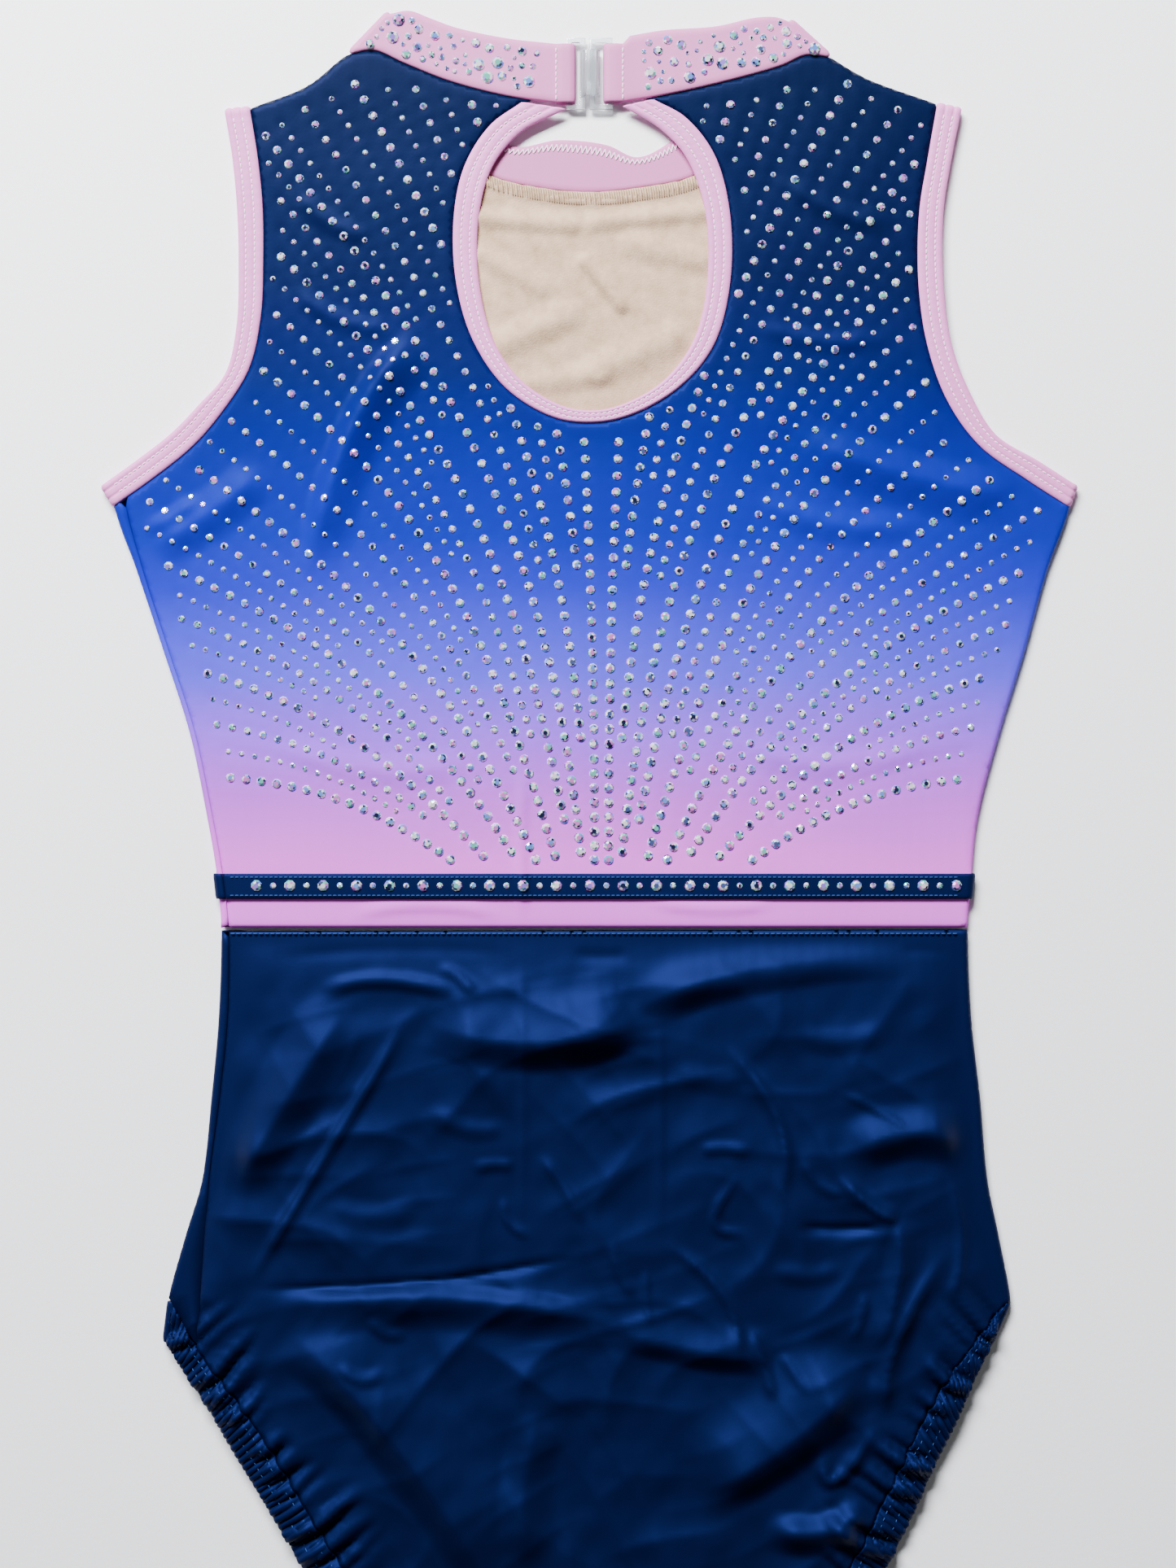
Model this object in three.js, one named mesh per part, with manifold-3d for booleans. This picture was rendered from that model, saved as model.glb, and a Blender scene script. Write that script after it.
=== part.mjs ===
// Gymnastics leotard, sleeveless with a mock neck, laid flat with its back up.
// Millimetres. X runs across the garment, +Y toward the collar, +Z up from the surface
// that it lies on. x = 0 is the middle of its width and y = 0 the middle of its length.
import * as THREE from 'three';
import { mergeVertices } from 'three/addons/utils/BufferGeometryUtils.js';
import Module from 'manifold-3d';

const wasm = await Module();
wasm.setup();

// Driving sizes
const CLOTH = 1.0; // wall of one layer of the stretch cloth
const SEAM = 0.3; // gap between two pieces at a seam
const DOUBLED = 1.6; // wall of the doubled collar
const BINDING = 1.5; // wall of the bindings
const HEM = 1.4; // wall of the leg hems between their gathers
const GATHER_PITCH = 3.0; // from one gather of a leg hem to the next
const GATHER_RISE = 0.7; // height of a gather above the hem
const BACK_BASE = 2.6; // underside of the back where it lies on the lining
const WAIST_SEAM_Y = -10; // seam between bodice and brief
const STRIP_Y = [0.6, 9.9]; // lower and upper edge of the waist strip
const STRIP_RAMP = 3; // length over which the front rises to let the strip pass
const UNDER_WRAP = 3; // width of the back that lies under the right fold
const LINING_BOTTOM = 140; // lower edge of the front lining
const LINING_HALF = 76; // half width of the front lining

// Heights of the middle of each wall
const FRONT_MID = CLOTH / 2;
const LINING_MID = CLOTH * 1.5 + SEAM;
const BACK_MID = BACK_BASE + CLOTH / 2;

// Folded sides from the underarm to the hip, with how far the side seam lies on the back
// inside the left fold. Above and below this stretch the armholes and legs cut them off.
const sides = [
  { y: 312, left: -138, right: 142, inset: 5 },
  { y: 220, left: -137, right: 138, inset: 5 },
  { y: 190, left: -147, right: 147, inset: 5 },
  { y: 172, left: -163, right: 163, inset: 5 },
  { y: 158, left: -175, right: 177, inset: 5 },
  { y: 146, left: -175.5, right: 177.6, inset: 4.8 },
  { y: 122, left: -167.2, right: 169.2, inset: 2.8 },
  { y: 92, left: -157.2, right: 160.8, inset: 2.4 },
  { y: 62, left: -147.6, right: 151.5, inset: 2.4 },
  { y: 32, left: -141.3, right: 143.7, inset: 2.4 },
  { y: 9.5, left: -137.5, right: 141.2, inset: 2.6 },
  { y: -10, left: -135.9, right: 139.8, inset: 3 },
  { y: -43, left: -136.8, right: 141, inset: 3.6 },
  { y: -73, left: -139.5, right: 144.3, inset: 3.3 },
  { y: -103, left: -142.9, right: 147, inset: 2.9 },
  { y: -124, left: -149.1, right: 151.2, inset: 7.5 },
  { y: -148, left: -155.6, right: 155.6, inset: 12.6 },
  { y: -168, left: -158, right: 156, inset: 14 },
  { y: -190, left: -146, right: 146, inset: 10 },
  { y: -245, left: -113, right: 114, inset: 10 },
  { y: -290, left: -82, right: 83, inset: 8 },
  { y: -330, left: -48, right: 48, inset: 5 },
];

// Shoulder line, where back and front meet over the top
const shoulders = [
  { x: -150, y: 278 },
  { x: -125, y: 290.6 },
  { x: -103.5, y: 299.2 },
  { x: -90, y: 309.8 },
  { x: -78, y: 318 },
  { x: 78, y: 317 },
  { x: 90, y: 308.8 },
  { x: 103, y: 301.4 },
  { x: 128.4, y: 292.2 },
  { x: 150, y: 283 },
];

// Bands. Each row gives a point on the edge that is sewn to the panel (sx, sy) and the
// point of the free edge straight across the band (fx, fy).
const armholeLeft = [
  { sx: -124.8, sy: 291, fx: -134.2, fy: 290 },
  { sx: -122.1, sy: 274.3, fx: -131.6, fy: 274.5 },
  { sx: -120.3, sy: 256.9, fx: -129.8, fy: 255.5 },
  { sx: -120, sy: 235.9, fx: -129.2, fy: 236 },
  { sx: -120.9, sy: 214.9, fx: -130, fy: 211.5 },
  { sx: -125.4, sy: 195.4, fx: -134.2, fy: 194 },
  { sx: -135.6, sy: 179.2, fx: -144, fy: 182.5 },
  { sx: -146.4, sy: 166.9, fx: -154, fy: 172.2 },
  { sx: -160.5, sy: 155.5, fx: -166.5, fy: 162.4 },
  { sx: -174, sy: 146, fx: -178.7, fy: 153.6 },
];
const armholeRight = [
  { sx: 127.9, sy: 292.4, fx: 137, fy: 290.4 },
  { sx: 124.5, sy: 272.8, fx: 133.6, fy: 273.5 },
  { sx: 121.5, sy: 253.9, fx: 130.6, fy: 254 },
  { sx: 121.2, sy: 227.8, fx: 130.5, fy: 229.2 },
  { sx: 124.5, sy: 204.4, fx: 133.5, fy: 205.3 },
  { sx: 132, sy: 183.8, fx: 140.6, fy: 186.5 },
  { sx: 144, sy: 167.2, fx: 150, fy: 171.5 },
  { sx: 161.4, sy: 154.7, fx: 165.4, fy: 162 },
  { sx: 175.6, sy: 145.6, fx: 178.5, fy: 153.6 },
];
const keyhole = [
  { sx: -25.2, sy: 294.1, fx: -8.6, fy: 291.6 },
  { sx: -36.6, sy: 285.8, fx: -25.5, fy: 282.8 },
  { sx: -45.6, sy: 271.9, fx: -35.6, fy: 270.4 },
  { sx: -49.8, sy: 254.5, fx: -40.6, fy: 252.2 },
  { sx: -49.5, sy: 229.9, fx: -40.5, fy: 227.4 },
  { sx: -43.2, sy: 206.8, fx: -34.6, fy: 205 },
  { sx: -30.6, sy: 188.5, fx: -24.6, fy: 191.2 },
  { sx: -12.9, sy: 177.8, fx: -9.6, fy: 182.2 },
  { sx: 2, sy: 176, fx: 2.4, fy: 180.6 },
  { sx: 15.3, sy: 178.7, fx: 13.8, fy: 183.4 },
  { sx: 32.7, sy: 188.5, fx: 27.4, fy: 191.6 },
  { sx: 45.9, sy: 204.2, fx: 38.4, fy: 206.4 },
  { sx: 52.2, sy: 228.4, fx: 43.4, fy: 227.6 },
  { sx: 51.6, sy: 256.3, fx: 42.6, fy: 254.4 },
  { sx: 45.9, sy: 275.6, fx: 35.8, fy: 273.6 },
  { sx: 35.4, sy: 288.8, fx: 25.8, fy: 284.6 },
  { sx: 24, sy: 295.2, fx: 12.4, fy: 292.6 },
];
const legLeft = [
  { sx: -153.8, sy: -148, fx: -155.6, fy: -163 },
  { sx: -143.1, sy: -166.5, fx: -150, fy: -172.6 },
  { sx: -131.7, sy: -181.4, fx: -138.9, fy: -189.2 },
  { sx: -120.6, sy: -196.6, fx: -129.8, fy: -205 },
  { sx: -107.4, sy: -218, fx: -117.4, fy: -225.4 },
  { sx: -91.5, sy: -244, fx: -102, fy: -251.4 },
  { sx: -75, sy: -268, fx: -84.4, fy: -276.4 },
  { sx: -57, sy: -290, fx: -66.2, fy: -298.6 },
  { sx: -39, sy: -306.5, fx: -48.4, fy: -315 },
  { sx: -27.6, sy: -317.4, fx: -38.6, fy: -322 },
  { sx: -24.4, sy: -326, fx: -36.7, fy: -326 },
];
const legRight = [
  { sx: 153.9, sy: -148, fx: 147, fy: -163.8 },
  { sx: 142.2, sy: -162, fx: 142.9, fy: -173.6 },
  { sx: 130.6, sy: -178, fx: 135.6, fy: -190.8 },
  { sx: 119.6, sy: -197.6, fx: 126.6, fy: -209.4 },
  { sx: 108, sy: -221.6, fx: 117.4, fy: -230 },
  { sx: 94.2, sy: -247, fx: 105, fy: -253.4 },
  { sx: 76.2, sy: -269, fx: 85.8, fy: -277 },
  { sx: 58, sy: -290.6, fx: 67, fy: -299 },
  { sx: 40, sy: -307, fx: 49, fy: -315.4 },
  { sx: 27.6, sy: -317.4, fx: 38.6, fy: -322 },
  { sx: 24.4, sy: -326, fx: 36.7, fy: -326 },
];

// Collar, from the left loop round the left fold, under the back along the front of the
// neck and round the right fold to the right loop.
const collarBackLeft = [
  { sx: -14, sy: 294.1, fx: -14, fy: 315.8 },
  { sx: -30.9, sy: 296.5, fx: -30, fy: 317.6 },
  { sx: -51.6, sy: 301.9, fx: -49, fy: 321.6 },
  { sx: -68, sy: 308.4, fx: -58.5, fy: 325 },
  { sx: -79.4, sy: 313.2, fx: -66.3, fy: 327.8 },
  { sx: -87.6, sy: 312, fx: -73.4, fy: 326.7 },
];
const collarFront = [
  { sx: -87.6, sy: 312, fx: -73.4, fy: 326.7 },
  { sx: -72, sy: 297, fx: -58, fy: 311 },
  { sx: -54, sy: 279.5, fx: -45, fy: 294.5 },
  { sx: -37.2, sy: 267.8, fx: -28.8, fy: 278.8 },
  { sx: -18, sy: 263, fx: -11.1, fy: 280.9 },
  { sx: 0, sy: 261.4, fx: 6.3, fy: 279.1 },
  { sx: 18, sy: 263, fx: 17.7, fy: 274.6 },
  { sx: 39, sy: 267.6, fx: 29.7, fy: 280.1 },
  { sx: 55, sy: 279.5, fx: 45, fy: 294.5 },
  { sx: 72, sy: 297, fx: 58, fy: 309.5 },
  { sx: 88, sy: 310.8, fx: 73.6, fy: 323.8 },
];
const collarBackRight = [
  { sx: 88, sy: 310.8, fx: 73.6, fy: 323.8 },
  { sx: 80, sy: 311.4, fx: 69, fy: 325.4 },
  { sx: 70.8, sy: 307.5, fx: 61.5, fy: 325.3 },
  { sx: 50.1, sy: 301.7, fx: 46.8, fy: 322.1 },
  { sx: 29.1, sy: 297, fx: 27, fy: 320.6 },
  { sx: 15, sy: 294.6, fx: 15, fy: 318.6 },
];
// Section of a collar end that is turned back round the bar of the clasp: distance from
// the stitch line toward the middle, height of the wall's middle and thickness of the wall
const loop = [
  { out: 0, z: 3.45, wall: 1.5 },
  { out: 2.2, z: 3.9, wall: 1.1 },
  { out: 5.2, z: 3.9, wall: 1.0 },
  { out: 6.4, z: 3.4, wall: 1.0 },
  { out: 6.9, z: 2.2, wall: 1.0 },
  { out: 6.4, z: 1.0, wall: 1.0 },
  { out: 5.2, z: 0.5, wall: 1.0 },
  { out: 2.6, z: 0.6, wall: 1.0 },
  { out: 0.2, z: 1.5, wall: 0.9 },
];
const STITCH_X = { left: -12.2, right: 12.4 }; // stitch line across each loop
const LOOP_Y = { left: [294, 315.6], right: [294.3, 315.7] }; // lower and upper edge

// Folds of the cloth on the back: start, middle and end, height over the cloth beside it
// and its width to the left and to the right of that line of travel
const folds = [
  { x1: -66, y1: -47, x2: -91, y2: -87, x3: -128, y3: -144, h: 3.2, wl: 14, wr: 9 },
  { x1: -60, y1: -50, x2: -20, y2: -60, x3: 30, y3: -44, h: 2.6, wl: 18, wr: 8 },
  { x1: 26, y1: -46, x2: 60, y2: -34, x3: 122, y3: -30, h: 2.4, wl: 16, wr: 8 },
  { x1: -25, y1: -14, x2: -24.5, y2: -70, x3: -25, y3: -122, h: 1.2, wl: 8, wr: 8 },
  { x1: 26, y1: -42, x2: 26.5, y2: -80, x3: 26, y3: -126, h: 1.2, wl: 8, wr: 8 },
  { x1: 48, y1: -52, x2: 69, y2: -82, x3: 68, y3: -114, h: 1.8, wl: 9, wr: 9 },
  { x1: 91, y1: -101, x2: 103, y2: -111, x3: 114, y3: -117, h: 3.2, wl: 18, wr: 9 },
  { x1: 114, y1: -117, x2: 113, y2: -140, x3: 105, y3: -165, h: 2.6, wl: 10, wr: 14 },
  { x1: -128, y1: -145, x2: -61, y2: -138, x3: -2, y3: -131, h: 2.2, wl: 12, wr: 16 },
  { x1: -90, y1: -180, x2: -60, y2: -215, x3: -30, y3: -255, h: 3.4, wl: 16, wr: 20 },
  { x1: -28, y1: -160, x2: 20, y2: -166, x3: 60, y3: -174, h: 2.2, wl: 12, wr: 14 },
  { x1: 131, y1: -129, x2: 116, y2: -160, x3: 104, y3: -190, h: 2.6, wl: 10, wr: 10 },
  { x1: 104, y1: -190, x2: 78, y2: -210, x3: 44, y3: -226, h: 3.2, wl: 16, wr: 14 },
  { x1: -20, y1: -186, x2: -32, y2: -216, x3: -40, y3: -242, h: 2.0, wl: 12, wr: 12 },
  { x1: 60, y1: -250, x2: 40, y2: -280, x3: 18, y3: -305, h: 2.0, wl: 12, wr: 12 },
  { x1: -60, y1: -262, x2: -40, y2: -285, x3: -16, y3: -305, h: 2.0, wl: 12, wr: 12 },
  { x1: -62, y1: 209, x2: -88, y2: 172, x3: -103, y3: 117, h: 1.4, wl: 18, wr: 10 },
  { x1: 74, y1: 172, x2: 118, y2: 156, x3: 160, y3: 149, h: 1.2, wl: 12, wr: 16 },
  { x1: -118, y1: 160, x2: -140, y2: 142, x3: -164, y3: 128, h: 1.0, wl: 12, wr: 12 },
];
const BRIEF_RISE = 1.6; // how far the creased brief stands off the front
const FOLD_FADE = 16; // distance from a side fold over which the folds die out

// Plan curve through the named points of a table, as evenly spaced points
function smooth(rows, xKey, yKey, count) {
  const through = rows.map((row) => new THREE.Vector3(row[xKey], row[yKey], 0));
  const curve = new THREE.CatmullRomCurve3(through, false, 'centripetal');
  return Array.from({ length: count + 1 }, (_, i) => curve.getPoint(i / count));
}

// Value of one column of a table at a place given by another, on a smooth curve
function lookUp(rows, atKey, key, at) {
  const up = rows[0][atKey] < rows[rows.length - 1][atKey] ? rows : [...rows].reverse();
  const last = up.length - 1;
  if (at <= up[0][atKey]) return up[0][key];
  if (at >= up[last][atKey]) return up[last][key];
  let i = 0;
  while (at > up[i + 1][atKey]) i += 1;
  const slope = (k) => {
    const a = up[Math.max(k - 1, 0)];
    const b = up[Math.min(k + 1, last)];
    return (b[key] - a[key]) / (b[atKey] - a[atKey]);
  };
  const step = up[i + 1][atKey] - up[i][atKey];
  const t = (at - up[i][atKey]) / step;
  const h00 = 2 * t ** 3 - 3 * t ** 2 + 1;
  const h10 = t ** 3 - 2 * t ** 2 + t;
  const h11 = t ** 3 - t ** 2;
  return h00 * up[i][key] + (1 - h00) * up[i + 1][key]
    + step * (h10 * slope(i) + h11 * slope(i + 1));
}

const leftFold = (y) => lookUp(sides, 'y', 'left', y);
const rightFold = (y) => lookUp(sides, 'y', 'right', y);
const seamInset = (y) => lookUp(sides, 'y', 'inset', y);
const ease = (t) => THREE.MathUtils.smoothstep(t, 0, 1);

// Height that one fold adds at a place
function foldHeight(fold, x, y) {
  const steps = 6;
  let best = { off: Infinity };
  let from = [fold.x1, fold.y1];
  for (let k = 1; k <= steps; k += 1) {
    const t = k / steps;
    const a = (2 * t - 1) * (t - 1);
    const b = 4 * t * (1 - t);
    const c = t * (2 * t - 1);
    const to = [a * fold.x1 + b * fold.x2 + c * fold.x3, a * fold.y1 + b * fold.y2 + c * fold.y3];
    const run = [to[0] - from[0], to[1] - from[1]];
    const long = Math.hypot(run[0], run[1]);
    const dot = ((x - from[0]) * run[0] + (y - from[1]) * run[1]) / long ** 2;
    const at = Math.min(1, Math.max(0, dot));
    const gap = [x - from[0] - at * run[0], y - from[1] - at * run[1]];
    const off = Math.hypot(gap[0], gap[1]);
    const left = run[0] * gap[1] - run[1] * gap[0] > 0;
    if (off < best.off) best = { off, left, along: (k - 1 + at) / steps };
    from = to;
  }
  const width = best.left ? fold.wl : fold.wr;
  if (best.off >= width) return 0;
  const end = ease(Math.min(best.along, 1 - best.along) / 0.25);
  return fold.h * end * ease(1 - best.off / width);
}

// How far the cloth of the back stands above its flat place
function lift(x, y) {
  const inside = Math.min(x - leftFold(y), rightFold(y) - x) - 3;
  const fade = ease(inside / FOLD_FADE);
  const ends = ease((WAIST_SEAM_Y - 3 - y) / 20) * ease((y + 326) / 30);
  const added = folds.reduce((sum, fold) => sum + foldHeight(fold, x, y), 0);
  return fade * (BRIEF_RISE * ends + added);
}

// How far the front stands above the surface where the waist strip passes under it
function passOver(y) {
  const below = ease((y - (STRIP_Y[0] - SEAM - STRIP_RAMP)) / STRIP_RAMP);
  const above = ease((STRIP_Y[1] + SEAM + STRIP_RAMP - y) / STRIP_RAMP);
  return (CLOTH + SEAM) * Math.min(below, above);
}

// Closed wall on a grid of points, half its thickness to each side of them. The faces look
// along the cross product of the first and the second direction of the grid.
function wall(grid, thickness, ring = false) {
  const rows = grid.length;
  const cols = grid[0].length;
  const clamp = (i) => (ring ? (i + rows) % rows : Math.min(rows - 1, Math.max(0, i)));
  const positions = [];
  for (const side of [1, -1]) {
    for (let i = 0; i < rows; i += 1) {
      for (let j = 0; j < cols; j += 1) {
        const along = grid[clamp(i + 1)][j].clone().sub(grid[clamp(i - 1)][j]);
        if (!ring && rows > 2 && i === rows - 1) {
          // the last row keeps the slope of the turn that it ends
          along.addScaledVector(grid[i - 1][j], -3).addScaledVector(grid[i - 2][j], 1)
            .addScaledVector(grid[i][j], 2);
        }
        const across = grid[i][Math.min(cols - 1, j + 1)].clone().sub(grid[i][Math.max(0, j - 1)]);
        const normal = along.cross(across).normalize();
        const t = typeof thickness === 'function' ? thickness(i, j) : thickness;
        positions.push(...grid[i][j].clone().addScaledVector(normal, side * t / 2));
      }
    }
  }
  const index = [];
  const at = (side, i, j) => side * rows * cols + clamp(i) * cols + j;
  const quad = (a, b, c, d) => index.push(a, b, c, a, c, d);
  const spans = ring ? rows : rows - 1;
  for (let i = 0; i < spans; i += 1) {
    for (let j = 0; j < cols - 1; j += 1) {
      quad(at(0, i, j), at(0, i + 1, j), at(0, i + 1, j + 1), at(0, i, j + 1));
      quad(at(1, i, j), at(1, i, j + 1), at(1, i + 1, j + 1), at(1, i + 1, j));
    }
    quad(at(0, i, 0), at(1, i, 0), at(1, i + 1, 0), at(0, i + 1, 0));
    const e = cols - 1;
    quad(at(0, i + 1, e), at(1, i + 1, e), at(1, i, e), at(0, i, e));
  }
  if (!ring) {
    for (let j = 0; j < cols - 1; j += 1) {
      const e = rows - 1;
      quad(at(0, 0, j + 1), at(1, 0, j + 1), at(1, 0, j), at(0, 0, j));
      quad(at(0, e, j), at(1, e, j), at(1, e, j + 1), at(0, e, j + 1));
    }
  }
  const geometry = new THREE.BufferGeometry();
  geometry.setAttribute('position', new THREE.Float32BufferAttribute(positions, 3));
  geometry.setIndex(index);
  return geometry;
}

function toManifold(source) {
  const bare = source.clone();
  bare.deleteAttribute('normal');
  bare.deleteAttribute('uv');
  const merged = mergeVertices(bare, 1e-4);
  return new wasm.Manifold(new wasm.Mesh({
    numProp: 3,
    vertProperties: new Float32Array(merged.attributes.position.array),
    triVerts: new Uint32Array(merged.index.array),
  }));
}

function toGeometry(solid) {
  const mesh = solid.getMesh();
  const geometry = new THREE.BufferGeometry();
  const positions = new THREE.Float32BufferAttribute(mesh.vertProperties, 3);
  geometry.setAttribute('position', positions);
  geometry.setIndex([...mesh.triVerts]);
  return geometry;
}

// Upright prism over a plan outline, tall enough to cut through every layer
function cutter(outline) {
  const shape = new THREE.Shape(outline.map((p) => new THREE.Vector2(p.x, p.y)));
  const prism = new THREE.ExtrudeGeometry(shape, { depth: 60, bevelEnabled: false });
  prism.translate(0, 0, -20);
  return toManifold(prism);
}

function trim(geometry, cutters) {
  const cut = cutters.reduce((solid, tool) => solid.subtract(tool), toManifold(geometry));
  const bodies = cut.decompose();
  bodies.sort((a, b) => b.volume() - a.volume());
  return toGeometry(bodies[0]);
}

// Turn round a side fold, from the top of the wall to its underside
function foldRow(y, edgeX, outward, angles) {
  const low = FRONT_MID + passOver(y);
  const radius = (BACK_MID - low) / 2;
  const centreX = edgeX - outward * (CLOTH / 2 + radius);
  return angles.map((angle) => new THREE.Vector3(
    centreX + outward * radius * Math.sin(angle),
    y,
    low + radius + radius * Math.cos(angle),
  ));
}

const steps = (from, to, count) => Array.from(
  { length: count + 1 },
  (_, i) => from + (to - from) * i / count,
);
const TURN = steps(0, Math.PI, 5);
const R_FOLD = (BACK_MID - FRONT_MID) / 2;

// One row of the back: from the left side seam over the top and round the right fold
function backRow(y, count) {
  const first = leftFold(y) + seamInset(y) + SEAM / 2;
  const turn = foldRow(y, rightFold(y), 1, TURN);
  const top = steps(first, turn[0].x, count).slice(0, -1)
    .map((x) => new THREE.Vector3(x, y, BACK_MID + lift(x, y)));
  const end = turn[turn.length - 1].clone();
  end.x -= UNDER_WRAP;
  return [...top, ...turn, end];
}

// One row of the front: from the left side seam on the back round the left fold and under
function frontRow(y, count) {
  const turn = foldRow(y, leftFold(y), -1, TURN);
  const first = new THREE.Vector3(leftFold(y) + seamInset(y) - SEAM / 2, y, BACK_MID);
  const last = foldRow(y, rightFold(y), 1, [Math.PI])[0].x - UNDER_WRAP - SEAM;
  const low = steps(turn[turn.length - 1].x, last, count).slice(1)
    .map((x) => new THREE.Vector3(x, y, FRONT_MID + passOver(y)));
  return [first, ...turn, ...low];
}

// Rows of a panel. Its end row follows the line endY(x), where the cloth turns over to
// meet the other layer. direction is +1 toward the collar and -1 toward the crotch.
function panelRows(rowAt, count, startRows, startY, endY, rowCount, direction, fromTop) {
  const columns = rowAt(startY, count).length;
  const rows = startRows.map((y) => rowAt(y, count));
  const endOf = Array.from({ length: columns }, (_, j) => {
    let y = endY(0);
    for (let k = 0; k < 8; k += 1) y = endY(rowAt(y, count)[j].x);
    return y;
  });
  for (let i = 1; i <= rowCount; i += 1) {
    rows.push(endOf.map((y, j) => rowAt(startY + (y - startY) * i / rowCount, count)[j]));
  }
  const edge = rows[rows.length - 1].map((p) => p.clone());
  const stop = Math.PI / 2 - SEAM / 2 / R_FOLD;
  for (const angle of [stop / 3, stop * 2 / 3, stop]) {
    rows.push(edge.map((p) => {
      const rise = endY(p.x + 0.5) - endY(p.x - 0.5);
      const out = new THREE.Vector3(-rise, 1, 0).normalize().multiplyScalar(direction);
      const turned = p.clone().addScaledVector(out, R_FOLD * Math.sin(angle));
      turned.z += (fromTop ? -1 : 1) * R_FOLD * (1 - Math.cos(angle));
      return turned;
    }));
  }
  return rows;
}

// Strip between the sewn and the free edge of a table, at the given height of its middle
function stations(rows, count, heightAt) {
  const sewn = smooth(rows, 'sx', 'sy', count);
  const free = smooth(rows, 'fx', 'fy', count);
  return sewn.map((s, i) => {
    const across = free[i].clone().sub(s).normalize();
    const travel = sewn[Math.min(count, i + 1)].clone().sub(sewn[Math.max(0, i - 1)]).normalize();
    const slant = Math.abs(travel.x * across.y - travel.y * across.x);
    const a = s.clone().addScaledVector(across, SEAM / Math.max(slant, 0.2));
    const b = free[i].clone();
    a.z = heightAt(a.x, a.y);
    b.z = heightAt(b.x, b.y);
    return [a, b];
  });
}

// Two points of a band turned round a fold line that runs through them
function turnBand(pair, before, low, high, angles) {
  const line = pair[1].clone().sub(pair[0]).setZ(0);
  const out = new THREE.Vector3(line.y, -line.x, 0).normalize();
  const travel = pair[0].clone().sub(before[0]).setZ(0);
  if (out.dot(travel) < 0) out.negate();
  const radius = (high - low) / 2;
  return angles.map((angle) => pair.map((p) => {
    const turned = p.clone().addScaledVector(out, radius * Math.sin(angle));
    turned.z = low + radius + radius * Math.cos(angle);
    return turned;
  }));
}

// Closed ring of a binding or hem: along the back, round one fold, along the front on the
// underside and round the other fold
function ringBand(rows, thickness, backCount, frontCount) {
  const low = thickness / 2;
  const high = BACK_BASE + thickness / 2;
  const over = stations(rows, backCount, (x, y) => high + lift(x, y));
  for (const end of [over[0], over[over.length - 1]]) end.forEach((p) => p.setZ(high));
  const under = stations(rows, frontCount, () => low).reverse();
  const mid = TURN.slice(1, -1);
  const far = turnBand(over[over.length - 1], over[over.length - 2], low, high, mid);
  const near = turnBand(over[0], over[1], low, high, mid).reverse();
  return { rows: [...over, ...far, ...under, ...near], backCount };
}

// Materials
const shade = (color, roughness, metalness = 0) => new THREE.MeshStandardMaterial({
  color,
  roughness,
  metalness,
  side: THREE.DoubleSide,
});
const navy = () => shade(0x101f47, 0.45);
const royal = () => shade(0x1a44a8, 0.45);
const pink = () => shade(0xd9a9cc, 0.5);
const beige = () => shade(0xc9b29c, 0.8);
const clear = () => shade(0xe8eef2, 0.1);

const leotard = new THREE.Group();
function add(name, geometry, material) {
  const mesh = new THREE.Mesh(geometry, material);
  mesh.name = name;
  leotard.add(mesh);
}

// Cutters at the armholes, the back neck with the keyhole, the front neck and the legs
const EDGE_POINTS = 24; // points along one edge of a cutter
const CUT_PAST = 30; // how far a cut runs on past the end of its edge
const WIDE = 230; // x beyond every fold
const HIGH = 340; // y beyond the collar
const outside = (x, y) => new THREE.Vector3(x, y, 0);
function armholeCutter(rows, sign) {
  const edge = smooth(rows, 'sx', 'sy', EDGE_POINTS);
  const last = edge[edge.length - 1];
  const before = edge[edge.length - 2];
  const on = last.clone().add(last.clone().sub(before).setLength(CUT_PAST));
  const first = edge[0].clone().add(edge[0].clone().sub(edge[1]).setLength(CUT_PAST));
  return cutter([first, ...edge, on, outside(sign * WIDE, on.y), outside(sign * WIDE, HIGH)]);
}
function legCutter(rows, sign) {
  const edge = smooth(rows, 'sx', 'sy', EDGE_POINTS);
  const first = edge[0].clone().add(edge[0].clone().sub(edge[1]).setLength(CUT_PAST));
  const end = edge[edge.length - 1].clone();
  end.y -= CUT_PAST;
  return cutter([first, ...edge, end, outside(sign * WIDE, end.y), outside(sign * WIDE, first.y)]);
}
const armholeCutters = [armholeCutter(armholeLeft, -1), armholeCutter(armholeRight, 1)];
const legCutters = [legCutter(legLeft, -1), legCutter(legRight, 1)];
const neckLeft = smooth(collarBackLeft.slice(1), 'sx', 'sy', 12).reverse();
const neckRight = smooth(collarBackRight.slice(0, -1), 'sx', 'sy', 12).reverse();
// The neck cuts run out square to the shoulders, past the folds of the collar
const pastNeckLeft = [outside(-76, HIGH), outside(-99, 326), outside(-89.6, 310.6)];
const pastNeckRight = [outside(90, 309.4), outside(99.5, 324), outside(76, HIGH)];
const backNeckCutter = cutter([
  ...pastNeckLeft,
  ...neckLeft,
  ...smooth(keyhole, 'sx', 'sy', 2 * EDGE_POINTS),
  ...neckRight,
  ...pastNeckRight,
]);
const frontNeck = smooth(collarFront, 'sx', 'sy', EDGE_POINTS);
const frontNeckCutter = cutter([...pastNeckLeft, ...frontNeck, ...pastNeckRight]);

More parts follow.
